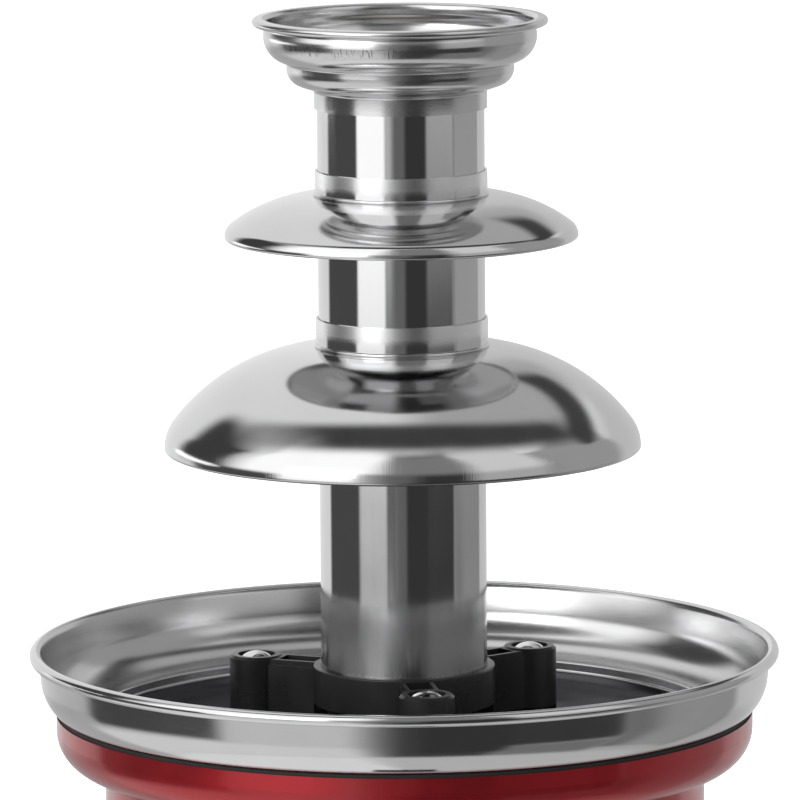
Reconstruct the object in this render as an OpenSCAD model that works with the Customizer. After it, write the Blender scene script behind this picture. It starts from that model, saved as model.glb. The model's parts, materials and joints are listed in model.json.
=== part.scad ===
// Table-top chocolate fountain. A helical auger lifts melted chocolate through a polished tube.
// It spills over the crown and the two tiers and runs back to the heated bowl.
// Millimetres. +Z is up, z = 0 is the table, the tower's axis is the Z axis and the knob faces -Y.

/* [Stand] */
// Height of the drum's lower edge above the table
drum_lift = 7; // [5:0.5:12]
// How far the drum stands inside the rounded ring above it
drum_set = 14.2; // [12:0.1:18]
// Wall of the red housing
shell_t = 2.5; // [2:0.1:3.5]
// How far the rounded ring stands inside the bowl's wall
flare_set = 4.5; // [3.5:0.1:6]
// Radius of the ring's rounded lower edge
flare_round = 11; // [8:0.5:12]
// Height of the ring's underside below the bowl's rim
flare_drop = 33.2; // [30:0.1:40]
// Inner radius of the shelf that the motor bracket clamps
shelf_r = 64; // [60:1:68]
// Thickness of the shelf
shelf_t = 2.5; // [2:0.1:4]
// How far the base plate sits inside the drum
base_inset = 1.5; // [1:0.5:4]
// Thickness of the base plate
base_t = 2.5; // [2:0.5:4]
// Gap between the base plate and the drum's wall
base_gap = 0.3; // [0.2:0.05:0.6]
// How far the circle of the rubber feet lies inside the drum
feet_set = 20.1; // [17:0.1:26]
// Radius of a rubber foot where it stands
foot_pad_r = 8.5; // [7:0.5:11]
// Radius of a rubber foot's neck
foot_neck_r = 3; // [2:0.5:4]
// Radius of a base screw's thread
base_screw_r = 1.5; // [1.2:0.1:2]
// Height of the screw bosses in the drum
boss_h = 28; // [20:1:32]
// Length of a vent slot in the base plate
vent_len = 16; // [10:1:20]
// Width of a vent slot in the base plate
vent_w = 4; // [3:0.5:5]

/* [Bowl] */
// Outer radius of the bowl's wall
bowl_r = 106.8; // [105:0.1:109]
// Sheet thickness of the bowl
bowl_t = 1; // [0.8:0.1:1.4]
// Height of the straight wall below the rim's centre
bowl_wall_h = 6.2; // [5:0.1:12]
// Radius of the rounding between the wall and the floor
bowl_round = 13.5; // [12:0.5:14]
// Radius of the rolled rim
bead_r = 1.75; // [1.7:0.05:2.3]
// Width of the flat between the rounding and the floor's step
step_flat = 0.3; // [0.2:0.1:3]
// Depth of the step around the floor
floor_drop = 3.1; // [1.5:0.1:4]
// Thickness of the gasket under the bowl
gasket_t = 1; // [0.6:0.1:1.4]

/* [Bowl posts] */
// Radius of the circle that the posts stand on
post_ring_r = 47.2; // [44:0.1:50]
// Turn of the front post from straight ahead
post_turn = 7.86; // [0:0.01:20]
// Radius of a post
post_r = 4.85; // [4:0.05:5.5]
// Height of a post's dome
post_dome = 2; // [1:0.1:3]
// Radius of a post's stud
stud_r = 2.5; // [2:0.1:3]
// Thickness of the seal under a post
seal_t = 1; // [0.6:0.1:1.5]

/* [Tower] */
// Height of the black foot
foot_h = 17.7; // [15:0.1:20]
// Outer radius of the foot's ring
foot_ring_r = 26.7; // [26:0.1:28]
// Radius of the rounded top edge of the foot's ring
foot_edge = 0.5; // [0.3:0.1:1.2]
// Radius of a boss of the foot
lobe_r = 8; // [7:0.1:9]
// Width of an arm of the foot
arm_w = 10.6; // [9:0.1:12]
// Wall of an arm of the foot
arm_t = 1.8; // [1.4:0.1:2.5]
// How far an arm's upper lip steps in from its side
lip_in = 0.6; // [0.3:0.1:0.8]
// Height of an arm's upper lip
lip_h = 1.6; // [1:0.1:3]
// How far an arm stays below the foot's top
arm_low = 0.5; // [0.3:0.1:1]
// Gap between a post and its boss
post_gap = 0.65; // [0.3:0.05:1]
// How deep the tube sits in the foot
tube_seat = 8.5; // [6:0.5:10]
// Width of an inlet in the foot's ring
inlet_w = 30; // [20:1:34]
// Outer radius of the tube
tube_r = 24.4; // [23.5:0.1:25]
// Wall of the tube
tube_t = 0.8; // [0.6:0.1:1.2]
// Length of the tube
tube_len = 177; // [165:1:190]
// Gap between the tube and what fits around it
tube_fit = 0.1; // [0.05:0.01:0.15]
// Sheet thickness of the tiers and the crown
sheet_t = 0.8; // [0.6:0.1:1.2]
// Thickness of the tiers' and the crown's collars
collar_t = 0.7; // [0.5:0.1:1.2]

/* [Large tier] */
// Radius of the large tier
large_r = 69.7; // [64:0.1:74]
// Height of the large tier's rim below the tube's top
large_drop = 103.5; // [98:0.1:108]
// Shoulder radius of the large tier
large_shoulder = 12; // [9:0.5:14]
// Dome radius of the large tier
large_dome = 56; // [52:1:62]
// Height of the large tier's collar above its dome
large_collar = 8.4; // [6:0.1:12]

/* [Small tier] */
// Radius of the small tier
small_r = 51.6; // [47:0.1:55]
// Height of the small tier's rim below the tube's top
small_drop = 41.4; // [38:0.1:45]
// Shoulder radius of the small tier
small_shoulder = 4; // [3:0.5:6]
// Dome radius of the small tier
small_dome = 44; // [41:1:50]
// Height of the small tier's collar above its dome
small_collar = 7.2; // [5:0.1:10]

/* [Crown] */
// Radius of the crown's upper wall at its lower end
crown_r = 39; // [37:0.1:41]
// Spread of the crown's upper wall towards the rim
crown_spread = 1.3; // [0.5:0.1:2]
// Height of the crown's upper wall
crown_wall_h = 8; // [6:0.1:11]
// Radius of the rounding under the upper wall
crown_round = 5; // [4:0.1:5.2]
// Radius of the crown's lower wall
crown_low_r = 32.6; // [31.5:0.1:33.4]
// Height of the crown's lower wall
crown_low_h = 4.6; // [3:0.1:6]
// Radius of the rounding under the lower wall
crown_low_round = 3.6; // [3:0.1:4.5]
// Radius of the crown's rolled rim
crown_bead = 1.15; // [0.9:0.05:1.8]
// Height of the crown's collar
crown_collar = 4; // [3:0.1:6]

/* [Auger and drive] */
// Radius of the auger's flight
auger_r = 22; // [20:0.1:22.4]
// Radius of the auger's core
core_r = 9.5; // [9:0.1:11]
// Rise of the flight in one turn
flight_pitch = 34; // [28:1:45]
// Thickness of the flight along the axis
flight_t = 2.5; // [2:0.1:4]
// How far the auger stops below the tube's top
auger_short = 4; // [2:0.5:8]
// Width across the flats of the drive coupling
coupling_af = 11; // [10:0.1:12]
// Length of the drive coupling
coupling_h = 13; // [10:0.5:16]
// Gap between the coupling and the auger's socket
socket_gap = 0.35; // [0.3:0.05:0.6]
// Radius of the drive shaft
shaft_r = 4; // [3.5:0.1:4.5]
// Running gap around a shaft
run_gap = 0.05; // [0.02:0.01:0.08]
// Radius of the coupling's cross pin
pin_r = 1.2; // [1:0.1:1.5]
// Radius of the sleeve that carries the shaft
hub_r = 8; // [7.6:0.1:9]
// Wall of the bronze bush
bush_t = 2; // [1.5:0.1:2.2]
// Thickness of the hub's flange
hub_flange_t = 2; // [1.5:0.1:3]
// Height of the hub's neck above its flange
hub_neck_h = 1.5; // [1:0.1:3]
// Height of the shaft seal
shaft_seal_h = 3; // [2:0.1:3.4]

/* [Motor] */
// Gap between the motor and the base plate
motor_gap = 9; // [6:0.5:14]
// Radius of the motor's can
can_r = 26; // [22:0.5:28]
// Height of the motor's can
can_h = 26; // [22:0.5:32]
// Radius of the gear case
gear_r = 30; // [28.5:0.5:32]
// Height of the gear case
gear_h = 18; // [16:0.5:22]
// Thickness of the motor bracket
bracket_t = 2; // [1.5:0.1:3]
// Radius of the motor bracket
bracket_r = 72; // [69:0.5:76]
// Depth of the bracket's rim
bracket_rim = 6; // [3:0.5:8]
// Radius of the circle of the motor screws
motor_screw_ring = 22; // [19:0.5:24]
// Radius of a motor screw's thread
motor_screw_r = 1.6; // [1.2:0.1:2]
// How deep a motor screw reaches into the gear case
motor_screw_grip = 9; // [6:0.5:12]

/* [Heater] */
// Room between the motor bracket and the bowl's floor
heater_room = 24.2; // [22:0.1:30]
// How far the heater plate's edge lies inside the floor's step
heater_set = 9; // [4:0.5:16]
// Thickness of the heater plate
heater_t = 4; // [3:0.5:5]
// Radius of the heater element's ring
element_ring_r = 60; // [56:0.5:62]
// Radius of the heater element's tube
element_r = 3.2; // [2.5:0.1:3.8]
// Radius of the thermostat
thermostat_r = 8; // [6:0.5:8.5]
// Height of the thermostat
thermostat_h = 8; // [6:0.5:10]

/* [Switch and inlet] */
// Height of the knob's axis above the base plate
knob_rise = 31; // [28:0.5:34]
// Radius of the knob's skirt
knob_r = 17; // [15:0.5:18]
// Length of the knob
knob_len = 13.8; // [12:0.1:15]
// Length of the knob's raised pointer
pointer_len = 8; // [5:0.5:9]
// Width of the knob's pointer
pointer_w = 1.8; // [1.2:0.1:3]
// How far the knob's pointer stands out
pointer_h = 0.8; // [0.4:0.1:1.2]
// Gap between the knob and the housing
knob_gap = 0.6; // [0.4:0.1:1.5]
// Radius of the switch's neck
neck_r = 5; // [4.5:0.1:5.5]
// Radius of the switch's shaft
spindle_r = 3; // [2.5:0.1:3.5]
// Width and height of the switch
switch_w = 24; // [20:0.5:26]
// Depth of the switch
switch_d = 24; // [20:0.5:26]
// Height of the cord gland above the base plate
gland_rise = 22; // [18:0.5:28]
// Radius of the gland's bore for the cord
cord_bore_r = 3.4; // [3:0.1:4]
// Radius of the gland's stem
gland_r = 7; // [6.5:0.1:7.5]
// Radius of an internal lead
lead_r = 1.1; // [0.8:0.1:1.3]
// Length that a lead takes on each side of a corner to turn
lead_bend = 6; // [3:0.5:8]

/* [Hidden] */
$fn = 96;
// Radial gap of threads and of holes for screws
thread_gap = 0.05;
hole_gap = 0.2;
// Gap of pieces pressed on or brazed in
press_gap = 0.02;

// Heights of the stack, from the table up
base_bot = drum_lift + base_inset;
base_top = base_bot + base_t;
can_bot = base_top + motor_gap;
gear_bot = can_bot + can_h;
gear_top = gear_bot + gear_h;
bracket_top = gear_top + bracket_t;
floor_bot = bracket_top + heater_room;
floor_top = floor_bot + bowl_t;
bowl_cz = floor_top + floor_drop + bowl_round - bowl_t;
rim_z = bowl_cz + bowl_wall_h;
flare_bot = rim_z - flare_drop;
heater_bot = floor_bot - heater_t;
ring_seat = flare_bot + shell_t / 2;

// Housing
bowl_cx = bowl_r - bowl_round;
floor_step_r = bowl_cx - step_flat;
flare_r = bowl_r - flare_set;
drum_r = flare_r - drum_set;
drum_in = drum_r - shell_t;
feet_ring_r = drum_r - feet_set;
heater_r = floor_step_r - heater_set;
seat_r = bowl_round + gasket_t;
lip_z = bowl_cz - sqrt(pow(seat_r, 2) - pow(flare_r - bowl_cx, 2));
boss_r = 4.5;
boss_ring_r = drum_in - boss_r + 0.6;
boss_angles = [30, 150, 210, 330];
screw_len = 12;
screw_head_r = base_screw_r + 2;
screw_head_h = 1.4;
pad_out = drum_r + 1.5;
pad_in = drum_in - 2.6;
switch_pad_r = knob_r + 2;
knob_z = base_top + knob_rise;
gland_z = base_top + gland_rise;
gland_pad_r = gland_r + 6;

// Posts
post_angles = [for (i = [0:2]) -90 + post_turn + 120 * i];
foot_top = floor_top + foot_h;
post_bot = floor_top + seal_t;
post_shoulder = foot_top - post_dome + 0.9;
nut_h = 4;
washer_t = 1;
bracket_bot = bracket_top - bracket_t;
stud_bot = bracket_bot - washer_t - nut_h - 2;

// Tower
tube_bot = foot_top - tube_seat;
tube_top = tube_bot + tube_len;
tube_out = tube_r + tube_fit;
tube_in = tube_r - tube_t;
ledge_r = tube_in - 0.8;
ledge_t = 2.5;
collar_r = tube_out + collar_t;

// Drive
hub_flange_r = hub_r + 5;
hub_gasket_t = 1;
hub_flange_bot = floor_top + hub_gasket_t;
hub_neck_r = hub_r + 1;
hub_top = hub_flange_bot + hub_flange_t + hub_neck_h;
hub_nut_h = 5;
hub_bot = floor_bot - hub_nut_h - 5;
bush_r = shaft_r + run_gap + bush_t;
auger_bot = hub_top + 0.5;
coupling_bot = hub_top + 1;
coupling_top = coupling_bot + coupling_h;
shaft_top = coupling_top + 1;
shaft_bot = gear_top - 13;
auger_top = tube_top - auger_short;
pin_z = coupling_bot + coupling_h / 2;

// Heater
element_z = heater_bot - element_r + 1;
terminal_bot = bracket_top + 7;
element_gap = 15;
element_pin = element_gap + 4;
thermostat_at = [-4.5, 32.7];
thermostat_span = thermostat_r + 3.5;
stat_tab_x = 3.5;
stat_tab_bot = heater_bot - thermostat_h - 3;

// Switch, knob and terminals
switch_face = pad_in;
nut_t = 2.2;
neck_tip = pad_out + nut_t + 0.8;
knob_back = pad_out + knob_gap;
knob_front = knob_back + knob_len;
spindle_tip = knob_front - 3;
spindle_root = switch_face - 8;
switch_back = switch_face - switch_d;
tab_len = 6;
switch_tab_x = 7;
spindle_flat = 0.8;
grip_r = knob_r - 3.5;
flute_step = 20;
block_w = 26;
block_d = 16;
block_h = 13;
block_y = 57;
block_front = block_y - block_d / 2;
block_hole = 6;
block_pitch = 6;
block_screw_x = block_w / 2 - 3;
block_wire_z = base_top + block_h - 5;
gland_root = pad_in - 8;
gland_af = 2 * gland_r + 6;
gland_flange = 5;
gland_nose = 8;
gland_len = pad_out - gland_root + gland_flange + gland_nose;
motor_tabs = [60, -60];
motor_tab_z = can_bot + can_h / 2;
can_edge = 3;

// A flat ring's section, or a round tube standing on its lower end
module tube(outer, inner, height) {
    difference() {
        cylinder(r = outer, h = height);
        translate([0, 0, -1])
            cylinder(r = inner, h = height + 2);
    }
}

// The lower outer quarter of a rounded sheet's section
module quarter(outer, inner) {
    intersection() {
        difference() {
            circle(outer);
            circle(inner);
        }
        translate([0, -outer])
            square(outer);
    }
}

// A hexagon by its width across the flats
module hexagon(across, height) {
    cylinder(r = across / 2 / cos(30), h = height, $fn = 6);
}

// Copies around the posts' circle, turned so that +X points outwards
module at_posts(radius = post_ring_r, turn = 0) {
    for (a = post_angles)
        rotate(a + turn)
            translate([radius, 0, 0])
                children();
}

// Copies around the base screws' circle
module at_bosses() {
    for (a = boss_angles)
        rotate(a)
            translate([boss_ring_r, 0, 0])
                children();
}

// Lays a piece that stands on +Z so that it points to the front, -Y, from a given distance
module to_front(from, height) {
    translate([0, -from, height])
        rotate([90, 0, 0])
            children();
}

// The same towards the back, +Y
module to_back(from, height) {
    translate([0, from, height])
        rotate([-90, 0, 0])
            children();
}

// Section of the red drum: its wall and the shelf inside
module drum_section() {
    translate([drum_in, drum_lift])
        square([shell_t, ring_seat - drum_lift]);
    translate([shelf_r, bracket_top])
        square([drum_in - shelf_r + 1, shelf_t]);
}

// Section of the rounded red ring: it sits around and on the drum's end and follows the bowl
module ring_section() {
    flare_cx = flare_r - flare_round;
    flare_cz = flare_bot + flare_round;
    difference() {
        union() {
            translate([drum_in, ring_seat])
                square([flare_cx - drum_in, flare_bot + shell_t - ring_seat]);
            translate([drum_r + press_gap, flare_bot])
                square([flare_cx - drum_r - press_gap, shell_t]);
            translate([flare_cx, flare_cz])
                quarter(flare_round, flare_round - shell_t);
            translate([flare_r - shell_t, flare_cz])
                square([shell_t, lip_z + 0.5 - flare_cz]);
        }
        translate([bowl_cx, bowl_cz])
            circle(seat_r);
    }
}

// Rounded red ring that carries the bowl
module housing_ring() {
    color([0.62, 0.1, 0.12])
    rotate_extrude()
        ring_section();
}

// Red drum with screw bosses and flat pads for the switch and the cord gland
module housing() {
    color([0.62, 0.1, 0.12])
    difference() {
        union() {
            rotate_extrude()
                drum_section();
            at_bosses()
                translate([0, 0, base_top])
                    cylinder(r = boss_r, h = boss_h);
            to_front(pad_in, knob_z)
                cylinder(r = switch_pad_r, h = pad_out - pad_in);
            to_back(pad_in, gland_z)
                cylinder(r = gland_pad_r, h = pad_out - pad_in);
        }
        at_bosses()
            translate([0, 0, base_top - 1])
                cylinder(r = base_screw_r + thread_gap, h = screw_len + 2);
        to_front(pad_in - 1, knob_z)
            cylinder(r = neck_r + hole_gap, h = pad_out - pad_in + 2);
        to_back(pad_in - 1, gland_z)
            cylinder(r = gland_r + hole_gap, h = pad_out - pad_in + 2);
    }
}

// A slot with round ends along +X
module slot(length, width) {
    translate([0, -width / 2])
        square([length, width]);
    circle(width / 2);
    translate([length, 0])
        circle(width / 2);
}

// Black plate that closes the drum, with vent slots under the motor
module base_plate() {
    color([0.08, 0.08, 0.09])
    translate([0, 0, base_bot])
    linear_extrude(base_t)
    difference() {
        circle(drum_in - base_gap);
        for (a = [45:90:315])
            rotate(a)
                translate([feet_ring_r, 0])
                    circle(foot_neck_r + 0.1);
        for (a = boss_angles)
            rotate(a)
                translate([boss_ring_r, 0])
                    circle(base_screw_r + hole_gap);
        for (a = [120:30:420])
            rotate(a)
                translate([33, 0])
                    slot(vent_len, vent_w);
        for (x = [-1, 1])
            translate([x * block_screw_x, block_y])
                circle(base_screw_r + thread_gap);
    }
}

// Four screws that hold the base plate to the drum's bosses
module base_screws() {
    color([0.6, 0.6, 0.62])
    at_bosses() {
        translate([0, 0, base_bot - screw_head_h])
            difference() {
                cylinder(r = screw_head_r, h = screw_head_h);
                translate([0, 0, -0.4])
                    for (a = [0, 90])
                        rotate(a)
                            translate([-2, -0.4, 0])
                                cube([4, 0.8, 1]);
            }
        translate([0, 0, base_bot - 0.1])
            cylinder(r = base_screw_r, h = base_t + screw_len);
    }
}

// Four rubber feet, each pulled through the base plate by its neck
module rubber_feet() {
    color([0.05, 0.05, 0.05])
    for (a = [45:90:315])
        rotate(a)
            translate([feet_ring_r, 0, 0]) {
                cylinder(r1 = foot_pad_r, r2 = foot_pad_r + 1, h = base_bot);
                translate([0, 0, base_bot - 0.5])
                    cylinder(r = foot_neck_r, h = base_t + 1);
                translate([0, 0, base_top])
                    cylinder(r1 = foot_neck_r + 1.6, r2 = foot_neck_r, h = 2.5);
            }
}

// Section of the bowl: rolled rim, straight wall, rounding, step and floor
module bowl_section() {
    step_in = floor_step_r - bowl_t;
    translate([bowl_r + 3.2 - bead_r, rim_z])
        circle(bead_r);
    translate([bowl_r - bowl_t, bowl_cz])
        square([bowl_t, bowl_wall_h]);
    translate([bowl_cx, bowl_cz])
        quarter(bowl_round, bowl_round - bowl_t);
    translate([step_in, bowl_cz - bowl_round])
        square([bowl_cx - step_in, bowl_t]);
    translate([step_in, floor_bot])
        square([bowl_t, floor_drop + bowl_t]);
    translate([hub_r + hole_gap, floor_bot])
        square([floor_step_r - hub_r - hole_gap, bowl_t]);
}

// Steel bowl with a hole for the hub and three for the posts' studs
module bowl() {
    color([0.75, 0.75, 0.76])
    difference() {
        rotate_extrude()
            bowl_section();
        at_posts()
            translate([0, 0, floor_bot - 1])
                cylinder(r = stud_r + hole_gap, h = bowl_t + 2);
    }
}

// Black gasket that fills the joint between the bowl's rounding and the housing's lip
module bowl_gasket() {
    color([0.04, 0.04, 0.04])
    rotate_extrude()
        intersection() {
            translate([bowl_cx, bowl_cz])
                quarter(seat_r - press_gap, bowl_round + press_gap);
            translate([flare_r - shell_t - 1.5, bowl_cz - seat_r])
                square([shell_t + 1, seat_r]);
        }
}

// Three posts with domed heads and long studs that clamp the bowl to the motor bracket
module bowl_posts() {
    dome_r = (pow(post_r, 2) + pow(post_dome, 2)) / (2 * post_dome);
    color([0.8, 0.8, 0.81])
    at_posts() {
        translate([0, 0, post_bot])
            cylinder(r = post_r, h = post_shoulder - post_bot);
        intersection() {
            translate([0, 0, post_shoulder + post_dome - dome_r])
                sphere(dome_r);
            translate([0, 0, post_shoulder - 0.5])
                cylinder(r = post_r, h = post_dome + 1);
        }
        translate([0, 0, stud_bot])
            cylinder(r = stud_r, h = post_bot - stud_bot + 1);
    }
}

// Three soft rings under the posts
module post_seals() {
    color([0.1, 0.1, 0.1])
    at_posts()
        translate([0, 0, floor_top])
            tube(post_r + 0.3, stud_r + thread_gap, seal_t);
}

// Three washers under the motor bracket
module post_washers() {
    color([0.7, 0.7, 0.72])
    at_posts()
        translate([0, 0, bracket_bot - washer_t])
            tube(stud_r * 2, stud_r + hole_gap, washer_t);
}

// Three nuts on the posts' studs
module post_nuts() {
    color([0.7, 0.7, 0.72])
    at_posts()
        translate([0, 0, bracket_bot - washer_t - nut_h])
            difference() {
                hexagon(stud_r * 3.2, nut_h);
                translate([0, 0, -1])
                    cylinder(r = stud_r + thread_gap, h = nut_h + 2);
            }
}

// Flanged sleeve that carries the shaft through the bowl's floor
module shaft_hub() {
    color([0.7, 0.7, 0.71])
    difference() {
        union() {
            translate([0, 0, hub_bot])
                cylinder(r = hub_r, h = hub_flange_bot - hub_bot + 0.5);
            translate([0, 0, hub_flange_bot])
                cylinder(r = hub_flange_r, h = hub_flange_t);
            translate([0, 0, hub_flange_bot])
                cylinder(r = hub_neck_r, h = hub_top - hub_flange_bot);
        }
        translate([0, 0, hub_bot - 1])
            cylinder(r = bush_r + press_gap, h = hub_top - hub_bot + 2);
    }
}

// Ring that keeps the hub's flange tight on the floor
module hub_gasket() {
    color([0.1, 0.1, 0.1])
    translate([0, 0, floor_top])
        tube(hub_flange_r - 0.5, hub_r + thread_gap, hub_gasket_t);
}

// Nut that pulls the hub down from under the bowl
module hub_nut() {
    color([0.7, 0.7, 0.71])
    translate([0, 0, floor_bot - hub_nut_h])
        difference() {
            hexagon(hub_r * 3, hub_nut_h);
            translate([0, 0, -1])
                cylinder(r = hub_r + thread_gap, h = hub_nut_h + 2);
        }
}

// Bronze bush that the shaft runs in
module shaft_bush() {
    color([0.72, 0.5, 0.25])
    translate([0, 0, hub_bot])
        tube(bush_r, shaft_r + run_gap, hub_top - shaft_seal_h - hub_bot);
}

// Lip seal in the hub's mouth
module shaft_seal() {
    color([0.1, 0.1, 0.1])
    translate([0, 0, hub_top - shaft_seal_h])
        tube(bush_r, shaft_r + run_gap, shaft_seal_h);
}

// Aluminium plate under the bowl's floor with a groove for the element
module heater_plate() {
    color([0.7, 0.71, 0.72])
    difference() {
        translate([0, 0, heater_bot])
            tube(heater_r, hub_r * 2 + 1, heater_t);
        translate([0, 0, element_z])
            rotate_extrude()
                translate([element_ring_r, 0])
                    circle(element_r + press_gap);
        at_posts()
            translate([0, 0, heater_bot - 1])
                cylinder(r = stud_r + hole_gap, h = heater_t + 2);
        for (x = [-1, 1])
            translate([thermostat_at[0] + x * thermostat_span, thermostat_at[1], heater_bot - 1])
                cylinder(r = 1.25 + thread_gap, h = 3.5);
    }
}

// Tubular element: an open ring brazed into the plate's groove, with a pin at each end
module heater_element() {
    color([0.45, 0.45, 0.46])
    translate([0, 0, element_z])
        rotate(90 + element_gap)
            rotate_extrude(angle = 360 - 2 * element_gap)
                translate([element_ring_r, 0])
                    circle(element_r);
    color([0.7, 0.7, 0.7])
    for (s = [-1, 1])
        rotate(90 + s * element_pin)
            translate([element_ring_r, 0, terminal_bot])
                cylinder(r = 1.5, h = element_z - terminal_bot);
}

// Disc thermostat with two ears and two blade terminals
module thermostat() {
    color([0.15, 0.13, 0.12])
    translate([thermostat_at[0], thermostat_at[1], 0])
        difference() {
            union() {
                translate([0, 0, heater_bot - thermostat_h])
                    cylinder(r = thermostat_r, h = thermostat_h);
                translate([-thermostat_span - 3, -3, heater_bot - 1])
                    cube([2 * thermostat_span + 6, 6, 1]);
                for (x = [-stat_tab_x, stat_tab_x])
                    translate([x - 0.4, -2, stat_tab_bot])
                        cube([0.8, 4, 4]);
            }
            for (x = [-1, 1])
                translate([x * thermostat_span, 0, heater_bot - 2])
                    cylinder(r = 1.25 + hole_gap, h = 3);
        }
}

// Two screws that hold the thermostat to the heater plate
module thermostat_screws() {
    color([0.6, 0.6, 0.62])
    for (x = [-1, 1])
        translate([thermostat_at[0] + x * thermostat_span, thermostat_at[1], 0]) {
            translate([0, 0, heater_bot - 2.6])
                cylinder(r = 2.4, h = 1.6);
            translate([0, 0, heater_bot - 1.5])
                cylinder(r = 1.25, h = 3.5);
        }
}

// Steel plate that carries the motor, clamped under the housing's shelf by the posts' studs
module motor_bracket() {
    color([0.55, 0.56, 0.58])
    difference() {
        union() {
            translate([0, 0, bracket_bot])
                cylinder(r = bracket_r, h = bracket_t);
            translate([0, 0, bracket_top - bracket_rim])
                tube(bracket_r, bracket_r - bracket_t, bracket_rim);
        }
        translate([0, 0, bracket_bot - 1])
            cylinder(r = shaft_r * 2 + 1, h = bracket_t + 2);
        at_posts()
            translate([0, 0, bracket_bot - 1])
                cylinder(r = stud_r + hole_gap, h = bracket_t + 2);
        at_posts(turn = 60)
            translate([0, 0, bracket_bot - 1])
                cylinder(r = 14, h = bracket_t + 2);
        at_posts(motor_screw_ring)
            translate([0, 0, bracket_bot - 1])
                cylinder(r = motor_screw_r + hole_gap, h = bracket_t + 2);
    }
}

// Sealed gear case that hangs under the bracket
module gear_case() {
    color([0.2, 0.2, 0.21])
    difference() {
        union() {
            translate([0, 0, gear_bot])
                cylinder(r = gear_r, h = gear_h);
            translate([0, 0, gear_top - 3])
                cylinder(r = gear_r + 2, h = 3);
            translate([0, 0, gear_top - 1])
                cylinder(r = shaft_r * 2, h = 6);
        }
        translate([0, 0, shaft_bot - 0.5])
            cylinder(r = shaft_r + run_gap, h = gear_top + 10 - shaft_bot);
        at_posts(motor_screw_ring)
            translate([0, 0, gear_top - motor_screw_grip - 1])
                cylinder(r = motor_screw_r + thread_gap, h = motor_screw_grip + 2);
    }
}

// Motor's closed can with a rounded lower edge, a bearing cap and two side tabs
module motor_can() {
    color([0.5, 0.5, 0.52])
    translate([0, 0, can_bot]) {
        rotate_extrude() {
            translate([0, can_edge])
                square([can_r, can_h - can_edge]);
            square([can_r - can_edge, can_h]);
            translate([can_r - can_edge, can_edge])
                circle(can_edge);
        }
        translate([0, 0, -can_edge])
            cylinder(r = 7, h = can_edge + 1);
        for (a = motor_tabs)
            rotate(a)
                translate([can_r - 1, -2.4, motor_tab_z - can_bot - 0.4])
                    cube([tab_len + 1, 4.8, 0.8]);
    }
}

// Three screws from the bracket down into the gear case
module motor_screws() {
    color([0.6, 0.6, 0.62])
    at_posts(motor_screw_ring) {
        translate([0, 0, bracket_top])
            cylinder(r = motor_screw_r * 2, h = motor_screw_r * 1.25);
        translate([0, 0, gear_top - motor_screw_grip])
            cylinder(r = motor_screw_r, h = bracket_t + motor_screw_grip + 0.5);
    }
}

// Terminal block for the mains cord, with three wire holes towards the motor
module terminal_block() {
    color([0.85, 0.85, 0.82])
    difference() {
        translate([-block_w / 2, block_front, base_top])
            cube([block_w, block_d, block_h]);
        for (x = [-block_pitch, 0, block_pitch])
            translate([x, block_front - 1, block_wire_z])
                rotate([-90, 0, 0])
                    cylinder(r = lead_r + 0.3, h = block_hole + 1);
        for (x = [-block_pitch, 0, block_pitch])
            translate([x, block_front + 3, base_top + block_h - 3])
                cylinder(r = 1.8, h = 4);
        for (x = [-1, 1])
            translate([x * block_screw_x, block_y, base_top - 1])
                cylinder(r = base_screw_r + hole_gap, h = block_h + 2);
    }
}

// Two screws that hold the terminal block to the base plate
module terminal_screws() {
    color([0.6, 0.6, 0.62])
    for (x = [-1, 1])
        translate([x * block_screw_x, block_y, 0]) {
            translate([0, 0, base_top + block_h])
                cylinder(r = base_screw_r + 1.2, h = 1.4);
            translate([0, 0, base_bot])
                cylinder(r = base_screw_r, h = base_t + block_h + 0.5);
        }
}

// Rotary switch with a threaded neck and three rear tabs
module rotary_switch() {
    color([0.12, 0.12, 0.13])
    difference() {
        union() {
            translate([-switch_w / 2, -switch_face, knob_z - switch_w / 2])
                cube([switch_w, switch_d, switch_w]);
            to_front(switch_face - 1, knob_z)
                cylinder(r = neck_r, h = neck_tip - switch_face + 1);
            for (x = [-switch_tab_x, 0, switch_tab_x])
                translate([x - 2, -switch_back - 0.5, knob_z - 0.4])
                    cube([4, tab_len + 0.5, 0.8]);
        }
        to_front(spindle_root - 0.3, knob_z)
            cylinder(r = spindle_r + run_gap, h = neck_tip - spindle_root + 2);
    }
}

// Nut that holds the switch to the housing's pad
module switch_nut() {
    color([0.65, 0.65, 0.66])
    to_front(pad_out, knob_z)
        difference() {
            hexagon(neck_r * 2.8, nut_t);
            translate([0, 0, -1])
                cylinder(r = neck_r + thread_gap, h = nut_t + 2);
        }
}

// Gland that the mains cord enters through
module cord_gland() {
    color([0.07, 0.07, 0.07])
    to_back(gland_root, gland_z)
        difference() {
            union() {
                cylinder(r = gland_r, h = pad_out - gland_root + 1);
                translate([0, 0, pad_out - gland_root])
                    hexagon(gland_af, gland_flange);
                translate([0, 0, pad_out - gland_root + gland_flange])
                    cylinder(r1 = gland_r + 2, r2 = cord_bore_r + 2.6, h = gland_nose);
            }
            translate([0, 0, -1])
                cylinder(r = cord_bore_r, h = gland_len + 2);
        }
}

// Nut on the gland's stem inside the drum
module gland_nut() {
    color([0.07, 0.07, 0.07])
    to_back(pad_in - nut_h, gland_z)
        difference() {
            hexagon(gland_af, nut_h);
            translate([0, 0, -1])
                cylinder(r = gland_r + thread_gap, h = nut_h + 2);
        }
}

// Unit vector along v
function unit(v) = v / norm(v);

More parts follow.
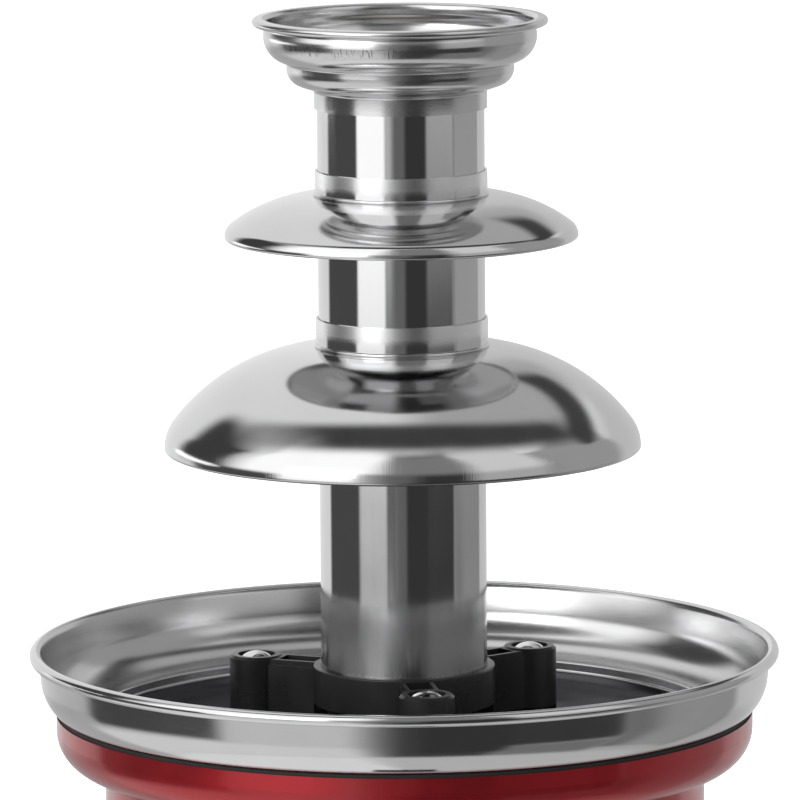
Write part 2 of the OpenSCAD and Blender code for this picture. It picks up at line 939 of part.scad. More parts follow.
// A corner of a lead's route, rounded by a short curve
function bend(a, b, c) =
    let (d = min(lead_bend, 0.45 * min(norm(a - b), norm(c - b))))
    let (from = b + d * unit(a - b), to = b + d * unit(c - b))
    [for (t = [0:3]) (pow(3 - t, 2) * from + 2 * t * (3 - t) * b + t * t * to) / 9];

// All points of a route, from its corners
function route(p) =
    concat([p[0]], [for (i = [1:len(p) - 2]) each bend(p[i - 1], p[i], p[i + 1])], [p[len(p) - 1]]);

// Direction of a route at its point i
function heading(q, i) =
    i == 0 ? unit(q[1] - q[0]) :
    i == len(q) - 1 ? unit(q[i] - q[i - 1]) :
    unit(unit(q[i + 1] - q[i]) + unit(q[i] - q[i - 1]));

// Side directions along a route, carried from point to point without twist
function sides(q, i = 0, last = [0.36, 0.48, 0.8]) =
    let (t = heading(q, i), n = unit(last - (last * t) * t))
    i == len(q) - 1 ? [n] : concat([n], sides(q, i + 1, n));

// One insulated lead, swept along its rounded route
module lead(corners) {
    q = route(corners);
    n = sides(q);
    count = len(q);
    facets = 8;
    points = [for (i = [0:count - 1], k = [0:facets - 1])
        let (a = 360 * k / facets)
        q[i] + lead_r * (cos(a) * n[i] + sin(a) * cross(heading(q, i), n[i]))];
    wall = [for (i = [0:count - 2], k = [0:facets - 1])
        let (a = i * facets + k, b = i * facets + (k + 1) % facets)
        each [[a, a + facets, b], [b, a + facets, b + facets]]];
    start = [for (k = [1:facets - 2]) [0, k, k + 1]];
    end = [for (k = [1:facets - 2]) (count - 1) * facets * [1, 1, 1] + [0, k + 1, k]];
    polyhedron(points, concat(wall, start, end));
}

// Leads between the terminal block, the switch, the motor, the thermostat and the heater
module leads() {
    wire_y = block_front + block_hole;
    heater_a = [element_ring_r * cos(90 + element_pin), element_ring_r * sin(90 + element_pin), terminal_bot];
    heater_b = [-heater_a[0], heater_a[1], terminal_bot];
    stat_a = [thermostat_at[0] - stat_tab_x, thermostat_at[1], stat_tab_bot];
    stat_b = [thermostat_at[0] + stat_tab_x, thermostat_at[1], stat_tab_bot];
    tab_end = can_r + tab_len;
    tab_a = [tab_end * cos(motor_tabs[0]), tab_end * sin(motor_tabs[0]), motor_tab_z];
    tab_b = [tab_end * cos(motor_tabs[1]), tab_end * sin(motor_tabs[1]), motor_tab_z];
    out_a = tab_a * 1.25 - [0, 0, 0.25 * motor_tab_z];
    out_b = tab_b * 1.25 - [0, 0, 0.25 * motor_tab_z];
    switch_y = -switch_back + tab_len;
    color([0.45, 0.2, 0.12])
    lead([heater_a, heater_a - [0, 0, 2.5], [-8, 50, bracket_top + 3], [-8, 46, gear_bot - 6],
        [-block_pitch, 42, block_wire_z], [-block_pitch, wire_y, block_wire_z]]);
    color([0.85, 0.85, 0.85])
    lead([heater_b, heater_b - [0, 0, 2.5], [4, 42, terminal_bot - 2], stat_b - [0, 0, 3], stat_b]);
    color([0.85, 0.85, 0.85])
    lead([stat_a, stat_a - [0, 0, 3], [-15, 46, bracket_top + 3], [-15, 47, gear_bot + 8],
        [-41, 25, knob_z + 6], [-46, -10, knob_z + 3], [-20, switch_y + 7, knob_z],
        [-switch_tab_x, switch_y + 4, knob_z], [-switch_tab_x, switch_y, knob_z]]);
    color([0.1, 0.2, 0.5])
    lead([[0, wire_y, block_wire_z], [0, 43, block_wire_z], [14, 40, motor_tab_z - 7], out_a, tab_a]);
    color([0.45, 0.2, 0.12])
    lead([[switch_tab_x, switch_y, knob_z], [switch_tab_x, switch_y + 4, knob_z], out_b, tab_b]);
    color([0.45, 0.2, 0.12])
    lead([[block_pitch, wire_y, block_wire_z], [block_pitch, 44, block_wire_z], [40, 30, base_top + 15],
        [46, -14, base_top + 20], [12, switch_y + 3, knob_z + 6], [0, switch_y + 4, knob_z],
        [0, switch_y, knob_z]]);
}

// Switch shaft with a flat for the knob
module switch_shaft() {
    color([0.7, 0.7, 0.71])
    to_front(spindle_root, knob_z)
        difference() {
            cylinder(r = spindle_r, h = spindle_tip - spindle_root);
            translate([-spindle_r - 1, spindle_r - spindle_flat, neck_tip + 1 - spindle_root])
                cube([2 * spindle_r + 2, spindle_r, spindle_tip]);
        }
}

// Fluted knob with a skirt and a raised pointer, hollow at the back for the switch's nut
module control_knob() {
    recess = neck_tip + 0.8 - knob_back;
    color([0.06, 0.06, 0.07])
    to_front(knob_back, knob_z)
        difference() {
            union() {
                cylinder(r = knob_r, h = 3);
                translate([0, 0, 3])
                    cylinder(r1 = knob_r, r2 = grip_r, h = 2);
                cylinder(r = grip_r, h = knob_len - 1);
                translate([0, 0, knob_len - 1])
                    cylinder(r1 = grip_r, r2 = grip_r - 1, h = 1);
                translate([-pointer_w / 2, grip_r - 1.2 - pointer_len, knob_len - 1.5])
                    cube([pointer_w, pointer_len, 1.5 + pointer_h]);
            }
            for (a = [0:flute_step:359])
                rotate(a)
                    translate([grip_r + 0.7, 0, 5.6])
                        cylinder(r = 1.7, h = knob_len);
            translate([0, 0, -1])
                cylinder(r = neck_r * 2.8 / 2 / cos(30) + 1, h = recess + 1);
            difference() {
                cylinder(r = spindle_r + press_gap, h = spindle_tip - knob_back + 0.3);
                translate([-spindle_r - 1, spindle_r - spindle_flat + press_gap, -1])
                    cube([2 * spindle_r + 2, spindle_r, knob_len + 2]);
            }
        }
}

// Steel shaft from the gear case up through the hub
module drive_shaft() {
    color([0.72, 0.72, 0.73])
    difference() {
        translate([0, 0, shaft_bot])
            cylinder(r = shaft_r, h = shaft_top - shaft_bot);
        to_front(-coupling_af, pin_z)
            cylinder(r = pin_r + press_gap, h = 2 * coupling_af);
    }
}

// Hexagonal coupling that the auger slides over
module drive_coupling() {
    color([0.1, 0.1, 0.11])
    difference() {
        translate([0, 0, coupling_bot])
            hexagon(coupling_af, coupling_h);
        translate([0, 0, coupling_bot - 1])
            cylinder(r = shaft_r + press_gap, h = coupling_h + 2);
        to_front(-coupling_af, pin_z)
            cylinder(r = pin_r + press_gap, h = 2 * coupling_af);
    }
}

// Cross pin that locks the coupling to the shaft
module coupling_pin() {
    pin_len = coupling_af - 1;
    color([0.75, 0.75, 0.76])
    to_front(-pin_len / 2, pin_z)
        cylinder(r = pin_r, h = pin_len);
}

// Helical screw: a round core with one flight, and a hexagonal socket in its lower end
module auger() {
    tip_h = 3;
    flight_h = auger_top - tip_h - auger_bot;
    turns = flight_h / flight_pitch;
    wrap = 360 * flight_t / flight_pitch;
    color([0.9, 0.89, 0.85])
    difference() {
        union() {
            translate([0, 0, auger_bot])
                cylinder(r = core_r, h = flight_h);
            translate([0, 0, auger_bot + flight_h])
                cylinder(r1 = core_r, r2 = core_r - 2.5, h = tip_h);
            translate([0, 0, auger_bot])
                linear_extrude(height = flight_h, twist = 360 * turns, slices = ceil(24 * turns), $fn = 6)
                    polygon(concat(
                        [for (a = [0, wrap]) (core_r - 1) * [cos(a), sin(a)]],
                        [for (i = [3:-1:0]) auger_r * [cos(wrap * i / 3), sin(wrap * i / 3)]]));
        }
        translate([0, 0, auger_bot - 1])
            hexagon(coupling_af + 2 * socket_gap, shaft_top - auger_bot + 1);
    }
}

// Black foot: a ring around the tube, and three hollow arms with bosses over the posts
module tower_foot() {
    web_t = 2;
    inlet_h = tube_bot - ledge_t - floor_top;
    arm_from = (tube_out + foot_ring_r) / 2;
    slot_from = foot_ring_r + 0.5;
    slot_to = post_ring_r - lobe_r - 0.4;
    color([0.06, 0.06, 0.065])
    translate([0, 0, floor_top])
        difference() {
            union() {
                rotate_extrude() {
                    square([foot_ring_r, foot_h - foot_edge]);
                    square([foot_ring_r - foot_edge, foot_h]);
                    translate([foot_ring_r - foot_edge, foot_h - foot_edge])
                        circle(foot_edge);
                }
                at_posts() {
                    cylinder(r = lobe_r, h = foot_h - 0.8);
                    translate([0, 0, foot_h - 0.8])
                        cylinder(r1 = lobe_r, r2 = lobe_r - 0.8, h = 0.8);
                }
                at_posts(0) {
                    translate([arm_from, -arm_w / 2, 0])
                        cube([post_ring_r - arm_from, arm_w, foot_h - arm_low - lip_h]);
                    translate([arm_from, -arm_w / 2 + lip_in, 0])
                        cube([post_ring_r - arm_from, arm_w - 2 * lip_in, foot_h - arm_low]);
                }
            }
            translate([0, 0, -1])
                cylinder(r = ledge_r, h = foot_h + 2);
            translate([0, 0, tube_bot - floor_top])
                cylinder(r = tube_out, h = foot_h);
            at_posts()
                translate([0, 0, -1])
                    cylinder(r = post_r + post_gap, h = foot_h + 2);
            at_posts(0)
                translate([slot_from, -arm_w / 2 + arm_t, web_t])
                    cube([slot_to - slot_from, arm_w - 2 * arm_t, foot_h]);
            at_posts(0, 60)
                translate([ledge_r - 8, -inlet_w / 2, -1])
                    cube([foot_ring_r - ledge_r + 16, inlet_w, inlet_h + 1]);
        }
}

// Polished tube that carries the tiers and the crown
module tower_tube() {
    color([0.75, 0.75, 0.76])
    translate([0, 0, tube_bot])
        tube(tube_r, tube_in, tube_len);
}

// Section of a tier: a shoulder arc and a dome arc that meet along the direction lean,
// a collar around the tube with a small fillet, and a hemmed edge
module tier_section(radius, rim, shoulder, dome, lean, collar_h) {
    shoulder_c = [radius - shoulder, rim];
    dome_c = shoulder_c + (shoulder - dome) * lean;
    reach = 2 * dome;
    top = dome_c[1] + sqrt(pow(dome, 2) - pow(tube_out - dome_c[0], 2));
    fillet = 2;
    intersection() {
        translate(shoulder_c)
            difference() {
                circle(shoulder);
                circle(shoulder - sheet_t);
            }
        polygon([shoulder_c, shoulder_c + [2 * shoulder, 0], shoulder_c + 2 * shoulder * lean]);
    }
    intersection() {
        translate(dome_c)
            difference() {
                circle(dome);
                circle(dome - sheet_t);
            }
        polygon([dome_c, dome_c + reach * lean, dome_c + reach * [lean[0], 1],
            [tube_out, dome_c[1] + reach], [tube_out, dome_c[1]]]);
    }
    translate([tube_out, top - sheet_t])
        square([collar_t, collar_h + sheet_t]);
    difference() {
        translate([collar_r - 0.1, top - 0.5])
            square([fillet + 0.1, fillet + 0.3]);
        translate([collar_r + fillet, top + fillet - 0.2])
            circle(fillet);
    }
    translate([radius - 0.9, rim - 0.1])
        circle(0.8);
}

// Lower, larger dome
module large_tier() {
    color([0.75, 0.75, 0.76])
    rotate_extrude()
        tier_section(large_r, tube_top - large_drop, large_shoulder, large_dome, [0.8, 0.6], large_collar);
}

// Upper, smaller dome
module small_tier() {
    color([0.75, 0.75, 0.76])
    rotate_extrude()
        tier_section(small_r, tube_top - small_drop, small_shoulder, small_dome, [0.6, 0.8], small_collar);
}

// Section of the crown: collar, lower cup, step, upper cup and rolled rim
module crown_section() {
    low_cx = crown_low_r - crown_low_round;
    low_cz = tube_top + crown_low_round;
    step_z = low_cz + crown_low_h;
    up_cx = crown_r - crown_round;
    up_cz = step_z + crown_round;
    top = up_cz + crown_wall_h;
    mouth = crown_r + crown_spread;
    translate([tube_out, tube_top - crown_collar])
        square([collar_t, crown_collar + sheet_t]);
    translate([tube_in, tube_top])
        square([low_cx - tube_in, sheet_t]);
    translate([low_cx, low_cz])
        quarter(crown_low_round, crown_low_round - sheet_t);
    translate([crown_low_r - sheet_t, low_cz])
        square([sheet_t, crown_low_h + sheet_t]);
    translate([crown_low_r - sheet_t, step_z])
        square([up_cx - crown_low_r + sheet_t, sheet_t]);
    translate([up_cx, up_cz])
        quarter(crown_round, crown_round - sheet_t);
    polygon([[crown_r - sheet_t, up_cz], [crown_r, up_cz], [mouth, top], [mouth - sheet_t, top]]);
    translate([mouth - sheet_t, top - sheet_t / 2])
        square([sheet_t + crown_bead + 0.4, sheet_t]);
    translate([mouth + crown_bead + 0.4, top])
        circle(crown_bead);
}

// Stepped cup that sits loose on the tube's end
module crown() {
    color([0.75, 0.75, 0.76])
    rotate_extrude()
        crown_section();
}

housing();
housing_ring();
base_plate();
base_screws();
rubber_feet();
bowl();
bowl_gasket();
bowl_posts();
post_seals();
post_washers();
post_nuts();
shaft_hub();
hub_gasket();
hub_nut();
shaft_bush();
shaft_seal();
heater_plate();
heater_element();
thermostat();
thermostat_screws();
motor_bracket();
gear_case();
motor_can();
motor_screws();
terminal_block();
terminal_screws();
rotary_switch();
switch_nut();
cord_gland();
gland_nut();
leads();
switch_shaft();
control_knob();
drive_shaft();
drive_coupling();
coupling_pin();
auger();
tower_foot();
tower_tube();
large_tier();
small_tier();
crown();
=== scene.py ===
import json
import math
import bmesh
import bpy
from mathutils import Matrix, Vector


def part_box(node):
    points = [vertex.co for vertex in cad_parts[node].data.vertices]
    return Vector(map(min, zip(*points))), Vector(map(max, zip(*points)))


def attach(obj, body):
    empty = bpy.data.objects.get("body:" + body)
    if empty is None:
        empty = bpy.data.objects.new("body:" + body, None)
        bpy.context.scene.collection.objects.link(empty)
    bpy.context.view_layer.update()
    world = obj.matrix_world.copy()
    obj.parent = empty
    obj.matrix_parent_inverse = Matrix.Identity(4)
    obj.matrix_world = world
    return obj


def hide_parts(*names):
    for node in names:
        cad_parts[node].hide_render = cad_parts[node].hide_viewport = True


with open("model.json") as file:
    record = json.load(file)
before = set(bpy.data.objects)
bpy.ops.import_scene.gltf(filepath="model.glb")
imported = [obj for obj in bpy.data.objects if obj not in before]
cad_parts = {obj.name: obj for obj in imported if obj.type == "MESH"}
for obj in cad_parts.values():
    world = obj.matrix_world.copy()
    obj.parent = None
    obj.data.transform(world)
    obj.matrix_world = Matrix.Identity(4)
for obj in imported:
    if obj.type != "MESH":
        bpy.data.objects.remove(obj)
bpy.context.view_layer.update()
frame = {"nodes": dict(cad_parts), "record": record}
nodes = frame["nodes"]
mm = 0.001
weldGap = 1e-7
sharpAngle = math.radians(40)


# Small helpers for node trees

def addNode(tree, kind, inputs=None, **settings):
    node = tree.nodes.new(kind)
    for key, value in settings.items():
        setattr(node, key, value)
    for key, value in (inputs or {}).items():
        if isinstance(value, bpy.types.NodeSocket):
            tree.links.new(value, node.inputs[key])
        else:
            node.inputs[key].default_value = value
    return node


def math2(tree, operation, a, b=0.0):
    return addNode(tree, "ShaderNodeMath", {0: a, 1: b}, operation=operation).outputs[0]


def product(tree, *values):
    whole = values[0]
    for value in values[1:]:
        whole = math2(tree, "MULTIPLY", whole, value)
    return whole


def moveTo(tree, value, target, mask):
    # value where the mask is 0, target where it is 1
    gap = math2(tree, "SUBTRACT", target, value)
    return addNode(tree, "ShaderNodeMath", {0: gap, 1: mask, 2: value}, operation="MULTIPLY_ADD").outputs[0]


def vector2(tree, operation, a, b=(0, 0, 0)):
    return addNode(tree, "ShaderNodeVectorMath", {0: a, 1: b}, operation=operation).outputs[0]


def vectorValue(tree, operation, a, b=(0, 0, 0)):
    return addNode(tree, "ShaderNodeVectorMath", {0: a, 1: b}, operation=operation).outputs["Value"]


def spread(tree, value, low, high, fromLow=0.0, fromHigh=1.0):
    inputs = {"Value": value, "From Min": fromLow, "From Max": fromHigh, "To Min": low, "To Max": high}
    return addNode(tree, "ShaderNodeMapRange", inputs, interpolation_type="SMOOTHSTEP").outputs[0]


def panelWindow(tree, angle, limits, soft):
    low, high = limits
    rise = spread(tree, angle, 0.0, 1.0, low - soft / 2, low + soft / 2)
    fall = spread(tree, angle, 1.0, 0.0, high - soft / 2, high + soft / 2)
    return product(tree, rise, fall)


def noise(tree, vector, scale, detail=3.0, roughness=0.5):
    inputs = {"Vector": vector, "Scale": scale, "Detail": detail, "Roughness": roughness}
    return addNode(tree, "ShaderNodeTexNoise", inputs).outputs[0]


def twoColours(tree, factor, first, second):
    inputs = {"Factor": factor, "A": first, "B": second}
    node = tree.nodes.new("ShaderNodeMix")
    node.data_type = "RGBA"
    sockets = [s for s in node.inputs if s.type in ("RGBA", "VALUE") and s.enabled]
    for socket in sockets:
        value = inputs[socket.name]
        if isinstance(value, bpy.types.NodeSocket):
            tree.links.new(value, socket)
        else:
            socket.default_value = (*value, 1) if isinstance(value, tuple) else value
    return next(s for s in node.outputs if s.enabled)


def newMaterial(name):
    material = bpy.data.materials.new(name)
    material.use_nodes = True
    tree = material.node_tree
    tree.nodes.clear()
    shader = tree.nodes.new("ShaderNodeBsdfPrincipled")
    output = tree.nodes.new("ShaderNodeOutputMaterial")
    tree.links.new(shader.outputs[0], output.inputs["Surface"])
    return material, tree, shader


def connect(tree, shader, name, value):
    tree.links.new(value, shader.inputs[name])


def addBump(tree, shader, height, strength, distance):
    inputs = {"Height": height, "Strength": strength, "Distance": distance}
    connect(tree, shader, "Normal", addNode(tree, "ShaderNodeBump", inputs).outputs[0])


def objectPoint(tree):
    return addNode(tree, "ShaderNodeTexCoord").outputs["Object"]


def pointParts(tree):
    return addNode(tree, "ShaderNodeSeparateXYZ", {0: objectPoint(tree)}).outputs


def aroundAxis(tree, around, along):
    # Object coordinates bent round the tower's axis, without a seam
    point = objectPoint(tree)
    outward = vector2(tree, "NORMALIZE", vector2(tree, "MULTIPLY", point, (1, 1, 0)))
    turned = vector2(tree, "MULTIPLY", outward, (around, around, 0))
    return vector2(tree, "ADD", turned, vector2(tree, "MULTIPLY", point, (0, 0, along)))


# Finishes

# brushing marks and clouds of tone that all the metals share
metalGrain = {"scale": 4.0, "detail": 4.0, "roughness": 0.6, "cloudScale": 45.0, "cloudDetail": 2.0,
              "marksShare": 0.6, "cloudShare": 0.4, "span": (0.3, 0.7), "relief": 0.0002}
steelLooks = {
    "tubeSteel": {
        "light": (0.71, 0.71, 0.715), "dark": (0.65, 0.65, 0.655), "rough": (0.05, 0.08),
        "around": 60, "along": 4, "bump": 0.02, "stretch": 0.5, "turn": 0.25,
        # the lower end's darker tone is painted shade for where the tube stands down in the bowl
        "shadedLowerEnd": {"heights": (0.1, 0.138), "rough": 0.24, "stretch": 0.96, "tone": (0.36, 0.36, 0.365)}},
    "domeSteel": {
        "light": (0.71, 0.71, 0.715), "dark": (0.62, 0.62, 0.625), "rough": (0.07, 0.13),
        "around": 110, "along": 4, "bump": 0.08,
        # the collars' upper edges get a lighter tone, a painted highlight, as well as more roughness
        "satinAndHighlight": {"large": (0.2075, 0.216), "small": (0.2508, 0.26), "soft": 0.003, "rough": 0.2,
                  "tone": (0.9, 0.9, 0.905)},
        "rimMarks": {"upward": (0.25, 0.7), "least": 0.15, "reach": (0.03, 0.04)}},
    "crownSteel": {
        "light": (0.7, 0.7, 0.705), "dark": (0.6, 0.6, 0.605), "rough": (0.14, 0.22),
        "around": 5, "along": 700, "bump": 0.03, "stretch": 0.6,
        "scratches": {"heights": (0.2915, 0.2942), "heightSoft": 0.001, "side": (-0.036, 0.001), "sideSoft": 0.006,
                      "front": (-0.024, -0.018), "fineStretch": (26, 90), "fineScale": 4.0, "fineSpan": (0.54, 0.62),
                      "patchStretch": (3, 60), "patchScale": 2.2, "patchSpan": (0.34, 0.5), "detail": 2.0,
                      "strength": 0.75, "tone": (0.16, 0.155, 0.15)}},
    "bowlSteel": {
        "light": (0.7, 0.7, 0.705), "dark": (0.6, 0.6, 0.605), "rough": (0.1, 0.15),
        "around": 6, "along": 600, "bump": 0.03,
        "floor": {"radius": 0.0915, "soft": 0.001, "tone": (0.3, 0.3, 0.305), "tint": (0.26, 0.26, 0.27)},
        "inside": {"rough": 0.08, "outward": (-0.02, 0.0)}},
    "postSteel": {
        "light": (0.8, 0.8, 0.805), "dark": (0.72, 0.72, 0.72), "rough": (0.08, 0.16),
        "around": 5, "along": 900, "bump": 0.02},
    "zincSteel": {
        "light": (0.6, 0.61, 0.64), "dark": (0.46, 0.47, 0.5), "rough": (0.3, 0.45),
        "around": 14, "along": 400, "bump": 0.05},
    "elementSteel": {
        "light": (0.36, 0.34, 0.32), "dark": (0.2, 0.18, 0.17), "rough": (0.35, 0.55),
        "around": 20, "along": 300, "bump": 0.05},
    "castAluminium": {
        "light": (0.68, 0.69, 0.7), "dark": (0.54, 0.55, 0.56), "rough": (0.4, 0.55),
        "around": 30, "along": 500, "bump": 0.2},
    "bushBronze": {
        "light": (0.72, 0.48, 0.22), "dark": (0.5, 0.3, 0.12), "rough": (0.3, 0.42),
        "around": 4, "along": 900, "bump": 0.05},
}


def crownScratches(tree, look):
    # short upright scratches on the front left of the crown, where it is gripped
    across, inward, height = pointParts(tree)
    fine = noise(tree, aroundAxis(tree, *look["fineStretch"]), look["fineScale"], look["detail"])
    patch = noise(tree, aroundAxis(tree, *look["patchStretch"]), look["patchScale"], look["detail"])
    return product(tree, panelWindow(tree, height, look["heights"], look["heightSoft"]),
                   panelWindow(tree, across, look["side"], look["sideSoft"]),
                   spread(tree, patch, 0.0, 1.0, *look["patchSpan"]),
                   spread(tree, inward, 1.0, 0.0, *look["front"]),
                   spread(tree, fine, 0.0, look["strength"], *look["fineSpan"]))


def steel(name, look, grain=metalGrain):
    material, tree, shader = newMaterial(name)
    shader.inputs["Metallic"].default_value = 1.0
    # fine brushing stretches the highlights across its marks
    shader.inputs["Anisotropic"].default_value = look.get("stretch", 0.0)
    shader.inputs["Anisotropic Rotation"].default_value = look.get("turn", 0.0)
    marks = noise(tree, aroundAxis(tree, look["around"], look["along"]), grain["scale"], grain["detail"],
                  grain["roughness"])
    cloud = noise(tree, objectPoint(tree), grain["cloudScale"], grain["cloudDetail"])
    colour = twoColours(tree, cloud, look["dark"], look["light"])
    mixed = math2(tree, "ADD", product(tree, marks, grain["marksShare"]), product(tree, cloud, grain["cloudShare"]))
    rough = spread(tree, mixed, *look["rough"], *grain["span"])
    flat = vector2(tree, "MULTIPLY", objectPoint(tree), (1, 1, 0))
    reach = vectorValue(tree, "LENGTH", flat)
    height = pointParts(tree)[2]
    facing = addNode(tree, "ShaderNodeTexCoord").outputs["Normal"]
    if "floor" in look:
        # the bowl's floor is darker than its wall, up to the step round it
        floor = look["floor"]
        inFloor = spread(tree, reach, 1.0, 0.0, floor["radius"] - floor["soft"], floor["radius"] + floor["soft"])
        colour = twoColours(tree, inFloor, colour, floor["tone"])
        connect(tree, shader, "Specular Tint", twoColours(tree, inFloor, (1.0, 1.0, 1.0), floor["tint"]))
    if "inside" in look:
        # the bowl's inside is more satin than its outside
        outward = vectorValue(tree, "DOT_PRODUCT", facing, flat)
        inside = spread(tree, outward, look["inside"]["rough"], 0.0, *look["inside"]["outward"])
        rough = math2(tree, "ADD", rough, inside)
    if "scratches" in look:
        colour = twoColours(tree, crownScratches(tree, look["scratches"]), colour, look["scratches"]["tone"])
    if "shadedLowerEnd" in look:
        # down in the bowl the tube's colour is darkened as painted shade, it is duller, and its highlights run on
        # down it
        end = look["shadedLowerEnd"]
        colour = twoColours(tree, spread(tree, height, 1.0, 0.0, *end["heights"]), colour, end["tone"])
        rough = math2(tree, "ADD", rough, spread(tree, height, end["rough"], 0.0, *end["heights"]))
        connect(tree, shader, "Anisotropic", spread(tree, height, end["stretch"], look["stretch"], *end["heights"]))
    if "satinAndHighlight" in look:
        # the collars' upper edges are satin, and catch light from all round; their lighter colour there is a painted
        # highlight
        satinAndHighlight = look["satinAndHighlight"]
        edge = math2(tree, "ADD", panelWindow(tree, height, satinAndHighlight["large"], satinAndHighlight["soft"]),
                     panelWindow(tree, height, satinAndHighlight["small"], satinAndHighlight["soft"]))
        colour = twoColours(tree, edge, colour, satinAndHighlight["tone"])
        rough = math2(tree, "ADD", rough, product(tree, edge, satinAndHighlight["rough"]))
    if "rimMarks" in look:
        # the brushing shows most on the steep rim, away from the collar
        rim = look["rimMarks"]
        upward = addNode(tree, "ShaderNodeSeparateXYZ", {0: facing}).outputs[2]
        steep = spread(tree, math2(tree, "ABSOLUTE", upward), 1.0, rim["least"], *rim["upward"])
        marks = product(tree, marks, steep, spread(tree, reach, 0.0, 1.0, *rim["reach"]))
    connect(tree, shader, "Base Color", colour)
    connect(tree, shader, "Roughness", rough)
    addBump(tree, shader, marks, look["bump"], grain["relief"])
    return material


plasticGrain = {"detail": 2.0, "cloudScale": 60.0, "cloudDetail": 3.0, "span": (0.3, 0.7), "relief": 0.0001}
plasticLooks = {
    "footPlastic": {"light": (0.016, 0.016, 0.017), "dark": (0.009, 0.009, 0.01), "rough": (0.24, 0.36),
                    "grain": 900, "bump": 0.05},
    "blackPlastic": {"light": (0.028, 0.028, 0.03), "dark": (0.018, 0.018, 0.019), "rough": (0.42, 0.55),
                     "grain": 1400, "bump": 0.2},
    "knobPlastic": {"light": (0.02, 0.02, 0.021), "dark": (0.013, 0.013, 0.014), "rough": (0.3, 0.42),
                    "grain": 1600, "bump": 0.15},
    "whitePlastic": {"light": (0.8, 0.785, 0.73), "dark": (0.74, 0.72, 0.66), "rough": (0.3, 0.42),
                     "grain": 700, "bump": 0.06},
    "blackRubber": {"light": (0.022, 0.022, 0.022), "dark": (0.012, 0.012, 0.012), "rough": (0.6, 0.78),
                    "grain": 1500, "bump": 0.3},
    "leadSleeve": {"light": (0.34, 0.11, 0.06), "dark": (0.26, 0.07, 0.04), "rough": (0.4, 0.5),
                   "grain": 900, "bump": 0.1},
}


def plastic(name, look, grain=plasticGrain):
    material, tree, shader = newMaterial(name)
    point = objectPoint(tree)
    texture = noise(tree, point, look["grain"], grain["detail"])
    cloud = noise(tree, point, grain["cloudScale"], grain["cloudDetail"])
    connect(tree, shader, "Base Color", twoColours(tree, cloud, look["dark"], look["light"]))
    connect(tree, shader, "Roughness", spread(tree, cloud, *look["rough"], *grain["span"]))
    addBump(tree, shader, texture, look["bump"], grain["relief"])
    return material


lacquer = {"light": (0.46, 0.022, 0.03), "dark": (0.36, 0.014, 0.02), "rough": (0.3, 0.36), "metallic": 0.8,
           "coat": 0.7, "coatRough": 0.05, "flake": 5000, "flakeShare": 0.5, "ripple": 90, "rippleShare": 0.5,
           "rippleDetail": 2.0, "span": (0.3, 0.7)}


def redLacquer(name, look):
    material, tree, shader = newMaterial(name)
    point = objectPoint(tree)
    flake = addNode(tree, "ShaderNodeTexVoronoi", {"Vector": point, "Scale": look["flake"]})
    cloud = noise(tree, point, look["ripple"], look["rippleDetail"])
    shade = math2(tree, "ADD", product(tree, flake.outputs["Distance"], look["flakeShare"]),
                  product(tree, cloud, look["rippleShare"]))
    connect(tree, shader, "Base Color", twoColours(tree, shade, look["dark"], look["light"]))
    connect(tree, shader, "Roughness", spread(tree, cloud, *look["rough"], *look["span"]))
    shader.inputs["Metallic"].default_value = look["metallic"]
    shader.inputs["Coat Weight"].default_value = look["coat"]
    shader.inputs["Coat Roughness"].default_value = look["coatRough"]
    return material


finishes = {
    "red_shell": redLacquer("redLacquer", lacquer),
    "black_plastic": plastic("blackPlastic", plasticLooks["blackPlastic"]),
    "foot_plastic": plastic("footPlastic", plasticLooks["footPlastic"]),
    "knob_plastic": plastic("knobPlastic", plasticLooks["knobPlastic"]),
    "white_plastic": plastic("whitePlastic", plasticLooks["whitePlastic"]),
    "black_rubber": plastic("blackRubber", plasticLooks["blackRubber"]),
    "lead_sleeve": plastic("leadSleeve", plasticLooks["leadSleeve"]),
    "bowl_steel": steel("bowlSteel", steelLooks["bowlSteel"]),
    "tower_steel": steel("tubeSteel", steelLooks["tubeSteel"]),
    "post_steel": steel("postSteel", steelLooks["postSteel"]),
    "zinc_steel": steel("zincSteel", steelLooks["zincSteel"]),
    "element_steel": steel("elementSteel", steelLooks["elementSteel"]),
    "heater_aluminium": steel("castAluminium", steelLooks["castAluminium"]),
    "bronze": steel("bushBronze", steelLooks["bushBronze"]),
}

domeSteel = steel("domeSteel", steelLooks["domeSteel"])
crownSteel = steel("crownSteel", steelLooks["crownSteel"])
ownFinish = {"large_tier": domeSteel, "small_tier": domeSteel, "crown": crownSteel}

for part in frame["record"]["subparts"]:
    mesh = nodes[part["node"]].data
    mesh.materials.clear()
    mesh.materials.append(ownFinish.get(part["node"], finishes[part["material_slot"]]))
print("finishes:", len(finishes))


# Shape helpers; profiles are in millimetres, (radius, height)

def roundedPath(corners, finest=7.5):
    # corners are (radius, height, rounding), and each rounding becomes an arc
    path = []
    for i, (radius, height, rounding) in enumerate(corners):
        here = Vector((radius, height))
        if not rounding or i in (0, len(corners) - 1):
            path.append(here)
            continue
        back = (Vector(corners[i - 1][:2]) - here).normalized()
        ahead = (Vector(corners[i + 1][:2]) - here).normalized()
        half = back.angle(ahead) / 2
        centre = here + (back + ahead).normalized() * (rounding / math.sin(half))
        first = here + back * (rounding / math.tan(half)) - centre
        sweep = math.pi - 2 * half
        sense = 1 if back.cross(ahead) < 0 else -1
        steps = max(2, math.ceil(math.degrees(sweep) / finest))
        for k in range(steps + 1):
            path.append(centre + Matrix.Rotation(sense * sweep * k / steps, 2) @ first)
    return path


def arcPath(centre, radius, fromAngle, toAngle, steps):
    angles = [math.radians(fromAngle + (toAngle - fromAngle) * k / steps) for k in range(steps + 1)]
    return [Vector((centre[0] + radius * math.cos(a), centre[1] + radius * math.sin(a))) for a in angles]


def facesOut(bm):
    bmesh.ops.remove_doubles(bm, verts=bm.verts, dist=weldGap)
    bmesh.ops.recalc_face_normals(bm, faces=bm.faces)


